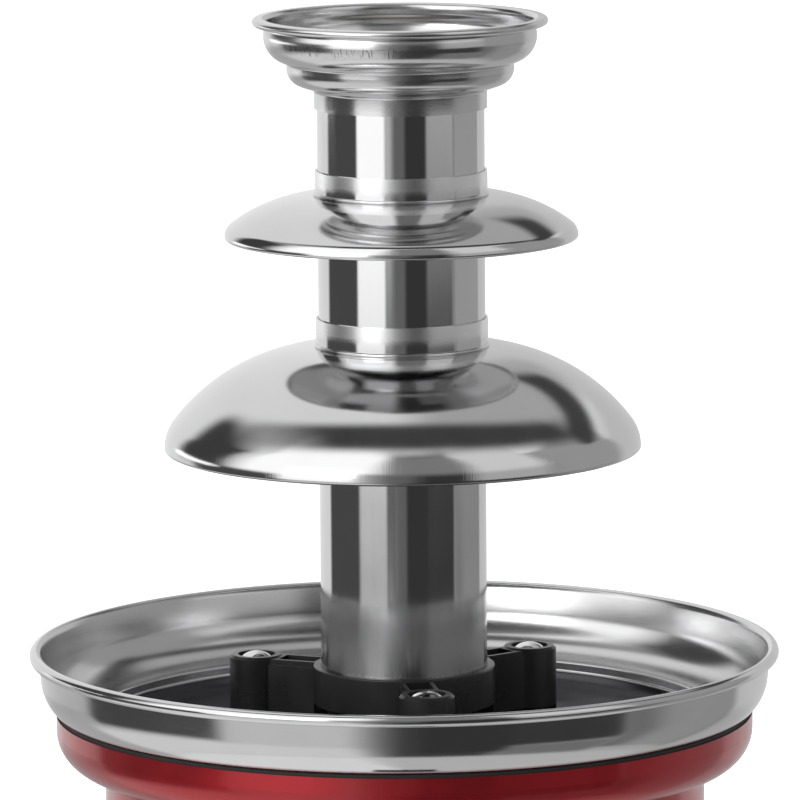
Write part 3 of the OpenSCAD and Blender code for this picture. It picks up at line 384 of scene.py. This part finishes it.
def turned(name, path, segments, closed=False, shape=None):
    # turns a profile round the Z axis; points on the axis become poles
    bm = bmesh.new()
    rings = []
    for k, (radius, height) in enumerate(path):
        if radius < weldGap:
            rings.append([bm.verts.new((0, 0, height * mm))])
            continue
        ring = []
        for i in range(segments):
            angle = 2 * math.pi * i / segments
            reach = (shape(k, angle) if shape else radius) * mm
            ring.append(bm.verts.new((reach * math.cos(angle), reach * math.sin(angle), height * mm)))
        rings.append(ring)
    pairs = list(zip(rings, rings[1:])) + ([(rings[-1], rings[0])] if closed else [])
    for lower, upper in pairs:
        for i in range(segments):
            j = (i + 1) % segments
            corners = [lower[i % len(lower)], lower[j % len(lower)], upper[j % len(upper)], upper[i % len(upper)]]
            bm.faces.new(list(dict.fromkeys(corners)))
    facesOut(bm)
    mesh = bpy.data.meshes.new(name)
    bm.to_mesh(mesh)
    bm.free()
    mesh.shade_smooth()
    mesh.set_sharp_from_angle(angle=sharpAngle)
    return mesh


def newPiece(name, mesh, material=None):
    piece = bpy.data.objects.new(name, mesh)
    bpy.context.scene.collection.objects.link(piece)
    if material:
        mesh.materials.clear()
        mesh.materials.append(material)
    return piece


def settle(piece):
    # makes the modifiers' result the piece's plain mesh
    graph = bpy.context.evaluated_depsgraph_get()
    mesh = bpy.data.meshes.new_from_object(piece.evaluated_get(graph))
    piece.modifiers.clear()
    piece.data = mesh
    mesh.name = piece.name


def cutAway(piece, cutter):
    cut = piece.modifiers.new("cutAway", "BOOLEAN")
    cut.operation = "DIFFERENCE"
    cut.object = cutter
    cut.use_self = True
    settle(piece)
    bpy.data.objects.remove(cutter)


def newTree(name, inputs):
    tree = bpy.data.node_groups.new(name, "GeometryNodeTree")
    for label, kind in inputs:
        tree.interface.new_socket(label, in_out="INPUT", socket_type="NodeSocket" + kind)
    tree.interface.new_socket("Geometry", in_out="OUTPUT", socket_type="NodeSocketGeometry")
    return tree, tree.nodes.new("NodeGroupInput").outputs


def closeTree(tree, geometry, material):
    whole = addNode(tree, "GeometryNodeRealizeInstances", {0: geometry}).outputs[0]
    painted = addNode(tree, "GeometryNodeSetMaterial", {"Geometry": whole, "Material": material}).outputs[0]
    tree.links.new(painted, tree.nodes.new("NodeGroupOutput").inputs[0])


def runTree(piece, tree, values):
    modifier = piece.modifiers.new(tree.name, "NODES")
    modifier.node_group = tree
    for item in tree.interface.items_tree:
        if item.in_out == "INPUT" and item.name in values:
            modifier[item.identifier] = values[item.name]
    settle(piece)


# Crown: a spun cup with two rounded steps and a rolled rim

crownLook = {"upperCentre": (32.0, 294.4), "upperRound": 7.8, "upperSweep": 74, "upperLean": 18, "upperSteps": 24,
             "lowerCentre": (28.1, 284.9), "lowerRound": 5.0, "lowerSweep": 72, "lowerSteps": 16,
             "beadCentre": (41.85, 298.6), "beadRound": 1.15, "beadSweep": (75, -155), "beadSteps": 24,
             "lipOut": 0.2, "lipRound": 1.4, "tuckOut": 0.5, "tuckDown": 0.6, "sheet": 0.8, "blend": 0.7,
             "collar": (24.5, 25.2, 273.4), "collarBlend": 1.0, "seat": (23.6, 277.4), "segments": 160}


def meetWall(point, sweep, wall):
    # where the sheet beyond an arc's end meets an upright wall
    return point[1] - (point[0] - wall) / math.tan(math.radians(sweep))


def crownSide(look, inset):
    # one face of the sheet, from the rim down
    upper = arcPath(look["upperCentre"], look["upperRound"] - inset, look["upperLean"], -look["upperSweep"],
                    look["upperSteps"])
    lower = arcPath(look["lowerCentre"], look["lowerRound"] - inset, 0, -look["lowerSweep"], look["lowerSteps"])
    wall = lower[0][0]
    step = (wall, meetWall(upper[-1], look["upperSweep"], wall), look["blend"] + inset)
    return upper + roundedPath([(*upper[-1], 0), step, (*lower[0], 0)])[1:-1] + lower


def makeCrown(look):
    inside, outside, bottom = look["collar"]
    seatRadius, seatHeight = look["seat"]
    sheet, (beadX, beadZ), beadRound = look["sheet"], look["beadCentre"], look["beadRound"]
    outer = crownSide(look, 0)
    inner = crownSide(look, sheet)[::-1]
    joint = meetWall(outer[-1], look["lowerSweep"], outside)
    path = [Vector((inside, bottom)), Vector((inside, seatHeight)), Vector((seatRadius, seatHeight)),
            Vector((seatRadius, seatHeight + sheet))] + inner
    lip = (inner[-1][0] + look["lipOut"], beadZ + beadRound, look["lipRound"])
    path += roundedPath([(*inner[-1], 0), lip, (beadX, beadZ + beadRound, 0)])[1:]
    path += arcPath(look["beadCentre"], beadRound, *look["beadSweep"], look["beadSteps"])
    path += [Vector((outer[0][0] + look["tuckOut"], beadZ - look["tuckDown"]))] + outer
    path += roundedPath([(*outer[-1], 0), (outside, joint, look["collarBlend"]), (outside, bottom, 0)])[1:]
    piece = newPiece("crownCup", turned("crownCup", path, look["segments"], closed=True), crownSteel)
    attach(piece, "crown")
    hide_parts("crown")


makeCrown(crownLook)

# Tiers: spun domes with a hemmed edge, a collar that narrows to its top and a thin lip under it

tierSheet = {"sheet": 0.8, "bore": 24.5, "collar": 25.2, "collarSteps": 12, "narrowing": 0.08,
             "lip": 0.5, "lipOut": 0.05, "lipSweep": (90, -70), "lipSteps": 16,
             "hem": 0.85, "hemSweep": (0, -262), "hemSteps": 28, "hemTuck": 1.1,
             "domeSteps": (40, 36), "shoulderSteps": (18, 14), "segments": 176}
tierLooks = {
    "largeDome": {"node": "large_tier", "rim": (69.7, 173.9), "shoulder": 12, "dome": 56, "lean": 36.87,
                  "top": 211.86},
    "smallDome": {"node": "small_tier", "rim": (51.6, 236.0), "shoulder": 4, "dome": 44, "lean": 53.13,
                  "top": 255.19},
}


def angleAt(centre, radius, reach):
    return math.degrees(math.acos((reach - centre[0]) / radius))


def makeTier(name, look, sheet):
    rim, lean, thick = Vector(look["rim"]), look["lean"], sheet["sheet"]
    shoulder, dome, collar, lip = look["shoulder"], look["dome"], sheet["collar"], sheet["lip"]
    domeOut, domeIn = sheet["domeSteps"]
    shoulderOut, shoulderIn = sheet["shoulderSteps"]
    shoulderCentre = rim - Vector((shoulder, 0))
    turn = math.radians(lean)
    domeCentre = shoulderCentre + (shoulder - dome) * Vector((math.cos(turn), math.sin(turn)))
    foot = domeCentre[1] + dome
    wallFoot = foot + 2 * lip
    path = [Vector((sheet["bore"], look["top"]))]
    for k in range(sheet["collarSteps"] + 1):
        up = 1 - k / sheet["collarSteps"]
        path.append(Vector((collar - sheet["narrowing"] * up ** 2, wallFoot + (look["top"] - wallFoot) * up)))
    path += arcPath((collar + sheet["lipOut"], foot + lip), lip, *sheet["lipSweep"], sheet["lipSteps"])
    path += arcPath(domeCentre, dome, angleAt(domeCentre, dome, collar + lip), lean, domeOut)
    path += arcPath(shoulderCentre, shoulder, lean, 0, shoulderOut)[1:]
    path += arcPath(rim - Vector((sheet["hem"], 0)), sheet["hem"], *sheet["hemSweep"], sheet["hemSteps"])[1:]
    hemEnd = math.degrees(math.asin(sheet["hemTuck"] / shoulder))
    path += arcPath(shoulderCentre, shoulder - thick, hemEnd, lean, shoulderIn)
    path += arcPath(domeCentre, dome - thick, lean, angleAt(domeCentre, dome - thick, sheet["bore"]), domeIn)[1:]
    piece = newPiece(name, turned(name, path, sheet["segments"], closed=True), domeSteel)
    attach(piece, "tower")
    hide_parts(look["node"])


for tierName, tierLook in tierLooks.items():
    makeTier(tierName, tierLook, tierSheet)

# Bowl: spun from one sheet, with a rolled rim, a slightly flared wall and a sunk floor

bowlLook = {"hub": 8.2, "floor": 90.2, "sheet": 1.0, "riser": 93.0, "riserEdge": 0.8,
            "ledge": 93.3, "ledgeEdge": 0.48, "ledgeRun": 0.6,
            "roundCentre": (93.3, 106.8), "round": 13.5, "roundSteps": 26, "flare": 5,
            "beadCentre": (108.25, 113.0), "beadRound": 1.75, "beadSweep": (-125, 150), "beadSteps": 36,
            "tuckOut": 0.62, "tuckUp": 7.0, "segments": 192,
            "studs": 3, "studRing": 47.2, "studFirst": -82.14, "studHole": 2.7, "studDepth": 4, "studSegments": 40}


def bowlSide(look, inset):
    # one face of the sheet, from the floor's hole to the top of the rounding
    floor, ledge, riser = look["floor"] + inset, look["ledge"] + inset, look["riser"] - inset
    foot = roundedPath([(look["hub"], floor, 0), (riser, floor, look["riserEdge"]), (riser, ledge, look["ledgeEdge"]),
                        (look["roundCentre"][0] + look["ledgeRun"], ledge, 0)])[:-1]
    return foot + arcPath(look["roundCentre"], look["round"] - inset, -90, -look["flare"], look["roundSteps"])


def studCutter(look):
    bm = bmesh.new()
    for i in range(look["studs"]):
        angle = math.radians(look["studFirst"] + 360 / look["studs"] * i)
        place = Vector((math.cos(angle), math.sin(angle), 0)) * look["studRing"] * mm
        place.z = (look["floor"] + look["sheet"] / 2) * mm
        bmesh.ops.create_cone(bm, cap_ends=True, segments=look["studSegments"], radius1=look["studHole"] * mm,
                              radius2=look["studHole"] * mm, depth=look["studDepth"] * mm,
                              matrix=Matrix.Translation(place))
    mesh = bpy.data.meshes.new("studCutter")
    bm.to_mesh(mesh)
    bm.free()
    return newPiece("studCutter", mesh)


def makeBowl(look):
    outer = bowlSide(look, 0)
    inner = bowlSide(look, look["sheet"])[::-1]
    path = outer + arcPath(look["beadCentre"], look["beadRound"], *look["beadSweep"], look["beadSteps"])
    path += [Vector((inner[0][0] + look["tuckOut"], inner[0][1] + look["tuckUp"]))] + inner
    piece = newPiece("bowlSpun", turned("bowlSpun", path, look["segments"], closed=True), finishes["bowl_steel"])
    cutAway(piece, studCutter(look))
    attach(piece, "base")
    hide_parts("bowl")


makeBowl(bowlLook)

# Foot of the tower, knob and cord gland: moulded, so every edge is broken

mouldingMesh = {"weld": 2e-6, "flat": 0.5, "sharp": 30}
mouldings = {
    "footMoulding": {"node": "tower_foot", "body": "tower", "slot": "foot_plastic", "width": 0.35, "segments": 3},
    "knobMoulding": {"node": "control_knob", "body": "knob", "slot": "knob_plastic", "width": 0.3, "segments": 2},
    "glandMoulding": {"node": "cord_gland", "body": "base", "slot": "black_plastic", "width": 0.35, "segments": 2},
}


def softened(nodeName, name, look, material):
    # a merged copy of a solid, with its edges broken
    bm = bmesh.new()
    bm.from_mesh(nodes[nodeName].data)
    bmesh.ops.remove_doubles(bm, verts=bm.verts, dist=mouldingMesh["weld"])
    bmesh.ops.dissolve_limit(bm, angle_limit=math.radians(mouldingMesh["flat"]), verts=bm.verts, edges=bm.edges)
    mesh = bpy.data.meshes.new(name)
    bm.to_mesh(mesh)
    bm.free()
    mesh.shade_smooth()
    piece = newPiece(name, mesh, material)
    edges = piece.modifiers.new("brokenEdges", "BEVEL")
    edges.width = look["width"] * mm
    edges.segments = look["segments"]
    edges.limit_method = "ANGLE"
    edges.angle_limit = math.radians(mouldingMesh["sharp"])
    edges.use_clamp_overlap = True
    piece.modifiers.new("evenShading", "WEIGHTED_NORMAL").keep_sharp = True
    settle(piece)
    return piece


for pieceName, look in mouldings.items():
    piece = softened(look["node"], pieceName, look, finishes[look["slot"]])
    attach(piece, look["body"])
    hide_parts(look["node"])
print("crown, tiers, bowl and mouldings made")

# Pieces that repeat round the axis: posts, rubber feet and base screws


def ringTree():
    tree, given = newTree("ringOfPieces", [("Geometry", "Geometry"), ("Count", "Int"), ("Radius", "Float"),
                                           ("First Angle", "Float"), ("Step", "Float"), ("Pair Step", "Float"),
                                           ("Material", "Material")])
    index = addNode(tree, "GeometryNodeInputIndex").outputs[0]
    single = math2(tree, "MULTIPLY", math2(tree, "MODULO", index, 2.0), given["Step"])
    pairs = math2(tree, "MULTIPLY", math2(tree, "FLOOR", math2(tree, "DIVIDE", index, 2.0)), given["Pair Step"])
    angle = math2(tree, "ADD", given["First Angle"], math2(tree, "ADD", single, pairs))
    place = addNode(tree, "ShaderNodeCombineXYZ", {
        0: math2(tree, "MULTIPLY", math2(tree, "COSINE", angle), given["Radius"]),
        1: math2(tree, "MULTIPLY", math2(tree, "SINE", angle), given["Radius"])}).outputs[0]
    points = addNode(tree, "GeometryNodePoints", {"Count": given["Count"], "Position": place}).outputs[0]
    turn = addNode(tree, "FunctionNodeEulerToRotation",
                   {0: addNode(tree, "ShaderNodeCombineXYZ", {2: angle}).outputs[0]}).outputs[0]
    copies = addNode(tree, "GeometryNodeInstanceOnPoints",
                     {"Points": points, "Instance": given["Geometry"], "Rotation": turn}).outputs[0]
    closeTree(tree, copies, given["Material"])
    return tree


ringPieces = {
    "postsTurned": {
        "node": "bowl_posts", "slot": "post_steel", "count": 3, "radius": 47.2, "first": -82.14, "step": 120,
        "pairStep": 240, "segments": 64,
        "post": {"bottom": 92.2, "bottomEdge": 0.3, "shoulder": 107.8, "radius": 4.85, "studRadius": 2.5,
                 "studEdge": 0.4, "dome": 2.0, "domeSteps": 14, "shoulderAngle": 1}},
    "feetMoulded": {
        "node": "rubber_feet", "slot": "black_rubber", "count": 4, "radius": 68.0, "first": 45, "step": 90,
        "pairStep": 180, "segments": 64,
        "profile": [(0, 0.7, 0), (5.0, 0.7, 0.5), (5.7, 0, 0.4), (8.45, 0, 0.7), (9.45, 8.5, 0.6), (3.0, 8.5, 0.2),
                    (3.0, 11.0, 0), (4.6, 11.0, 0.2), (3.1, 13.5, 0.4), (0, 13.5, 0)]},
    "screwsCrossHead": {
        "node": "base_screws", "slot": "zinc_steel", "count": 4, "radius": 81.7, "first": 30, "step": 120,
        "pairStep": 180, "segments": 48, "recess": (4.0, 0.8, 0.75),
        "profile": [(0, 7.1, 0), (3.5, 7.1, 0.7), (3.5, 8.5, 0), (1.5, 8.5, 0), (1.5, 21.9, 0), (0.3, 22.9, 0),
                    (0, 22.9, 0)]},
}


def crossRecess(piece, look, face):
    # cuts a plain cross into the head's face
    length, width, depth = look
    bm = bmesh.new()
    for turn in (0, 90):
        place = Matrix.Rotation(math.radians(turn), 4, "Z") @ Matrix.Translation((0, 0, face * mm))
        size = Matrix.Diagonal((length * mm, width * mm, 2 * depth * mm, 1))
        bmesh.ops.create_cube(bm, size=1, matrix=place @ size)
    mesh = bpy.data.meshes.new("crossCutter")
    bm.to_mesh(mesh)
    bm.free()
    cutAway(piece, newPiece("crossCutter", mesh))


def postProfile(look, studBottom):
    # a thin stud below, a post above it and a domed head
    radius, stud, bottom, shoulder = look["radius"], look["studRadius"], look["bottom"], look["shoulder"]
    sphere = (radius ** 2 + look["dome"] ** 2) / (2 * look["dome"])
    first = 90 - math.degrees(math.asin(radius / sphere)) + look["shoulderAngle"]
    side = roundedPath([(0, studBottom, 0), (stud, studBottom, look["studEdge"]), (stud, bottom, 0),
                        (radius, bottom, look["bottomEdge"]), (radius, shoulder, 0)])
    return side + arcPath((0, shoulder + look["dome"] - sphere), sphere, first, 90, look["domeSteps"])


ring = ringTree()
for pieceName, look in ringPieces.items():
    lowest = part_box(look["node"])[0][2]
    profile = postProfile(look["post"], lowest / mm) if "post" in look else roundedPath(look["profile"])
    piece = newPiece(pieceName, turned(pieceName, profile, look["segments"]))
    if "recess" in look:
        crossRecess(piece, look["recess"], look["profile"][0][1])
    runTree(piece, ring, {"Count": look["count"], "Radius": look["radius"] * mm,
                          "First Angle": math.radians(look["first"]), "Step": math.radians(look["step"]),
                          "Pair Step": math.radians(look["pairStep"]), "Material": finishes[look["slot"]]})
    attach(piece, "base")
    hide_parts(look["node"])
print("posts, feet and screws set round the axis")

# Auger: a turned core with a socket, and a left-handed flight wound round it

augerLook = {"bottom": 96.2, "bottomEdge": 0.4, "top": 273.4, "tip": 3.0, "tipSlope": 2.5, "tipEdge": 0.6,
             "core": 9.5, "flight": 22.0, "flightRoot": 1.0, "flightInset": 0.15, "pitch": 34.0, "thickness": 2.3,
             "edge": 0.5, "edgeSteps": 4, "turnSteps": 72, "lead": 13.24,
             "socketFlats": 11.7, "socketTop": 110.7, "socketCorner": 6.0, "socketRim": 7.0, "segments": 96}


def augerTree(look):
    tree, given = newTree("augerFlight", [("Geometry", "Geometry"), ("Bottom", "Float"), ("Height", "Float"),
                                          ("Pitch", "Float"), ("Inner Radius", "Float"), ("Outer Radius", "Float"),
                                          ("Thickness", "Float"), ("Edge", "Float"), ("Lead Angle", "Float"),
                                          ("Material", "Material")])
    middle = math2(tree, "MULTIPLY", math2(tree, "ADD", given["Inner Radius"], given["Outer Radius"]), 0.5)
    width = math2(tree, "SUBTRACT", given["Outer Radius"], given["Inner Radius"])
    turns = math2(tree, "DIVIDE", given["Height"], given["Pitch"])
    spiral = addNode(tree, "GeometryNodeCurveSpiral", {
        "Resolution": look["turnSteps"], "Rotations": turns, "Start Radius": middle, "End Radius": middle,
        "Height": given["Height"], "Reverse": True}).outputs[0]
    upright = addNode(tree, "GeometryNodeSetCurveNormal", {"Curve": spiral}, mode="Z_UP").outputs[0]
    section = addNode(tree, "GeometryNodeCurvePrimitiveQuadrilateral",
                      {"Width": width, "Height": given["Thickness"]}).outputs[0]
    section = addNode(tree, "GeometryNodeFilletCurve",
                      {"Curve": section, "Radius": given["Edge"], "Count": look["edgeSteps"], "Limit Radius": True},
                      mode="POLY").outputs[0]
    flight = addNode(tree, "GeometryNodeCurveToMesh", {"Curve": upright, "Profile Curve": section,
                                                       "Fill Caps": True}).outputs[0]
    lift = addNode(tree, "ShaderNodeCombineXYZ", {2: given["Bottom"]}).outputs[0]
    turn = addNode(tree, "ShaderNodeCombineXYZ", {2: given["Lead Angle"]}).outputs[0]
    rotation = addNode(tree, "FunctionNodeEulerToRotation", {0: turn}).outputs[0]
    flight = addNode(tree, "GeometryNodeTransform", {"Geometry": flight, "Translation": lift,
                                                     "Rotation": rotation}).outputs[0]
    joined = tree.nodes.new("GeometryNodeJoinGeometry")
    for part in (flight, given["Geometry"]):
        tree.links.new(part, joined.inputs[0])
    closeTree(tree, joined.outputs[0], given["Material"])
    return tree


def makeAuger(look):
    core, bottom, top = look["core"], look["bottom"], look["top"]
    shoulder = top - look["tip"]
    socket = [Vector((0, look["socketTop"])), Vector((look["socketCorner"], look["socketTop"])),
              Vector((look["socketCorner"], bottom))]
    path = socket + roundedPath([(look["socketRim"], bottom, 0), (core, bottom, look["bottomEdge"]),
                                 (core, shoulder, look["tipEdge"]), (core - look["tipSlope"], top, look["tipEdge"]),
                                 (0, top, 0)])

    def socketShape(k, angle):
        # six flats in the socket, round everywhere else
        if k >= len(socket):
            return path[k][0]
        side = (angle + math.pi / 6) % (math.pi / 3) - math.pi / 6
        return look["socketFlats"] / 2 / math.cos(side)

    piece = newPiece("augerScrew", turned("augerScrew", path, look["segments"], shape=socketShape))
    half = look["thickness"] / 2 + look["flightInset"]
    runTree(piece, augerTree(look), {
        "Bottom": (bottom + half) * mm, "Height": (shoulder - bottom - 2 * half) * mm, "Pitch": look["pitch"] * mm,
        "Inner Radius": (core - look["flightRoot"]) * mm, "Outer Radius": look["flight"] * mm,
        "Thickness": look["thickness"] * mm, "Edge": look["edge"] * mm,
        "Lead Angle": math.radians(look["lead"] - 360 * half / look["pitch"]),
        "Material": finishes["white_plastic"]})
    bm = bmesh.new()
    bm.from_mesh(piece.data)
    facesOut(bm)
    bm.to_mesh(piece.data)
    bm.free()
    piece.data.shade_smooth()
    piece.data.set_sharp_from_angle(angle=sharpAngle)
    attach(piece, "auger")
    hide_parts("auger")


makeAuger(augerLook)
print("auger wound")


# Studio: a white room with soft panels, seen by the steel

studio = {"white": 0.92}
studioPanels = {
    # azimuth from and to, elevation from and to, softness of the edges, level
    "table": ((-200, 200), (-120, -13), (1, 10), 0.5),
    "tableLeft": ((-66, -20), (-16, -8), (8, 4), 0.5),
    "tableLeftLow": ((-62, -14), (-50, -14), (14, 8), 0.72),
    "tableLeftDeep": ((-130, -14), (-52, -28), (14, 8), 0.85),
    "tableFront": ((-10, 36), (-50, -4), (22, 6), 0.06),
    "tableRight": ((30, 76), (-28, -6), (6, 4), 0.05),
    "tableRightLow": ((36, 76), (-50, -28), (6, 8), 0.22),
    "tableRightFar": ((76, 132), (-45, -8), (6, 3), 0.2),
    "tableRightBack": ((90, 132), (-45, -10), (16, 4), 0.36),
    "tableNear": ((-200, 200), (-120, -51), (1, 5), 0.62),
    "tableNearLeft": ((-180, -14), (-120, -51), (20, 5), 0.95),
    "backRight": ((131, 200), (-20, 24), (6, 10), 0.66),
    "leftFlag": ((-137, -96), (-2, 42), (10, 14), 0.06),
    "leftFlagLow": ((-120, -62), (-24, 3), (7, 6), 0.08),
    "leftBox": ((-86, -22.5), (5, 67), (6, 8), 1.45),
    "leftBoxLow": ((-63, -22.5), (-8.7, 12), (3, 2.6), 1.45),
    "behindCamera": ((-22.5, -8), (-7, 65), (2, 5), 0.48),
    "behindCameraLow": ((-22.5, -10), (-10.7, -7.9), (3, 1.4), 0.11),
    "besideCamera": ((-12, 8), (-12, 65), (10, 6), 0.16),
    "darkGap": ((5, 35), (-40, 65), (6, 6), 0.045),
    "frontHigh": ((-16, 36), (14, 65), (12, 16), 0.26),
    "leftBoxHigh": ((-50, -11), (16, 67), (14, 12), 1.45),
    "leftBoxCore": ((-54, -26), (3, 24), (6, 8), 3.6),
    "rightBox": ((35, 77), (-7.4, 65), (4, 2), 0.52),
    "rightBoxHigh": ((35, 77), (14, 65), (8, 14), 0.82),
    "rightBoxFar": ((77, 131), (-9.1, 46), (3, 4), 0.4),
    "rightSeam": ((75.5, 78.5), (-12, 40), (2, 8), 0.28),
}
# a dark arch over the object, between the front boxes and the bright ceiling, and a drape at the back right
studioArch = {"axis": (0.0, 0.435, 0.9), "angle": 46.5, "soft": 7, "level": 0.06, "back": (0.3, 0.5),
              "left": (-0.7, -0.35), "leftLeast": 0.6, "drape": ((116, 163), (28, 39.5), (8, 5)),
              "ceilingAxis": (0.0, 0.566, 0.824), "ceilingAngle": 36.5, "ceiling": 0.92, "ceilingRight": 0.5,
              "ceilingFade": (-0.1, 0.2)}


def makeWorld(look, panels, arch):
    world = bpy.data.worlds.new("studio")
    world.use_nodes = True
    bpy.context.scene.world = world
    tree = world.node_tree
    tree.nodes.clear()
    ray = addNode(tree, "ShaderNodeTexCoord").outputs["Generated"]
    x, y, z = addNode(tree, "ShaderNodeSeparateXYZ", {0: ray}).outputs
    azimuth = math2(tree, "DEGREES", math2(tree, "ARCTAN2", x, math2(tree, "MULTIPLY", y, -1.0)))
    elevation = math2(tree, "DEGREES", math2(tree, "ARCSINE", z))
    level = addNode(tree, "ShaderNodeValue").outputs[0]
    level.default_value = look["white"]

    def panel(across, upright, soft):
        softAcross, softUpright = soft
        return product(tree, panelWindow(tree, azimuth, across, softAcross),
                       panelWindow(tree, elevation, upright, softUpright))

    def cone(axis, limit):
        angle = math2(tree, "DEGREES", math2(tree, "ARCCOSINE", vectorValue(tree, "DOT_PRODUCT", ray, axis)))
        return spread(tree, angle, 1.0, 0.0, limit - arch["soft"] / 2, limit + arch["soft"] / 2)

    for across, upright, soft, panelLevel in panels.values():
        level = moveTo(tree, level, panelLevel, panel(across, upright, soft))
    # the arch is what its cone leaves outside the ceiling's
    band = product(tree, cone(arch["axis"], arch["angle"]), spread(tree, y, 1.0, 0.0, *arch["back"]),
                   spread(tree, x, arch["leftLeast"], 1.0, *arch["left"]))
    overhead = spread(tree, x, arch["ceiling"], arch["ceilingRight"], *arch["ceilingFade"])
    level = moveTo(tree, level, arch["level"], band)
    level = moveTo(tree, level, overhead, cone(arch["ceilingAxis"], arch["ceilingAngle"]))
    level = moveTo(tree, level, arch["level"], panel(*arch["drape"]))
    # the camera sees plain white behind the object
    path = addNode(tree, "ShaderNodeLightPath")
    direct = math2(tree, "MAXIMUM", path.outputs["Is Camera Ray"], path.outputs["Is Transmission Ray"])
    background = addNode(tree, "ShaderNodeBackground",
                         {"Color": (1, 1, 1, 1), "Strength": moveTo(tree, level, 1.0, direct)})
    output = tree.nodes.new("ShaderNodeOutputWorld")
    tree.links.new(background.outputs[0], output.inputs["Surface"])


makeWorld(studio, studioPanels, studioArch)

floorLook = {"radius": 12.0, "segments": 128, "paint": 0.8, "rough": 0.8, "glow": 0.7}


def makeFloor(look):
    bm = bmesh.new()
    bmesh.ops.create_circle(bm, cap_ends=True, segments=look["segments"], radius=look["radius"])
    mesh = bpy.data.meshes.new("studioFloor")
    bm.to_mesh(mesh)
    bm.free()
    floor = newPiece("studioFloor", mesh)
    material, tree, shader = newMaterial("studioFloor")
    paint = look["paint"]
    shader.inputs["Base Color"].default_value = (paint, paint, paint, 1)
    shader.inputs["Roughness"].default_value = look["rough"]
    shader.inputs["Emission Color"].default_value = (1, 1, 1, 1)
    path = addNode(tree, "ShaderNodeLightPath")
    connect(tree, shader, "Emission Strength", product(tree, path.outputs["Is Camera Ray"], look["glow"]))
    mesh.materials.append(material)
    floor.visible_glossy = False


makeFloor(floorLook)

lampTarget = (0, 0, 0.15)
lamps = {
    "keyLamp": {"azimuth": -48, "elevation": 40, "distance": 1.6, "size": 0.9, "watts": 9},
    "fillLamp": {"azimuth": 65, "elevation": 35, "distance": 1.8, "size": 1.0, "watts": 5},
    "lowStrip": {"azimuth": -119, "elevation": 0.6, "distance": 1.5, "size": 1.0, "tall": 0.1, "watts": 0.5,
                 "mirrored": True},
}


def makeLamp(name, look):
    data = bpy.data.lights.new(name, "AREA")
    data.shape = "RECTANGLE"
    data.size = look["size"]
    data.size_y = look.get("tall", look["size"])
    data.energy = look["watts"]
    lamp = bpy.data.objects.new(name, data)
    bpy.context.scene.collection.objects.link(lamp)
    turn, lift = math.radians(look["azimuth"]), math.radians(look["elevation"])
    away = Vector((math.sin(turn) * math.cos(lift), -math.cos(turn) * math.cos(lift), math.sin(lift)))
    lamp.location = Vector(lampTarget) + away * look["distance"]
    lamp.rotation_euler = (-away).to_track_quat("-Z", "Y").to_euler()
    lamp.visible_glossy = look.get("mirrored", False)


for lampName, lampLook in lamps.items():
    makeLamp(lampName, lampLook)

cameraView = {"back": 2.166436, "height": 0.520499, "pitch": 8.744, "roll": 0.382,
              "sensor": 36, "focalPixels": 7500, "imagePixels": 800, "shiftPixels": 2.464}


def makeCamera(look):
    data = bpy.data.cameras.new("photoView")
    data.sensor_width = look["sensor"]
    data.lens = data.sensor_width * look["focalPixels"] / look["imagePixels"]
    data.shift_x = -look["shiftPixels"] / look["imagePixels"]
    camera = bpy.data.objects.new("photoView", data)
    bpy.context.scene.collection.objects.link(camera)
    tilt = Matrix.Rotation(math.radians(90 - look["pitch"]), 4, "X")
    roll = Matrix.Rotation(math.radians(-look["roll"]), 4, "Z")
    camera.matrix_world = Matrix.Translation((0, -look["back"], look["height"])) @ tilt @ roll
    bpy.context.scene.camera = camera


makeCamera(cameraView)
bpy.context.scene.view_settings.view_transform = "Standard"
print("studio and camera ready")
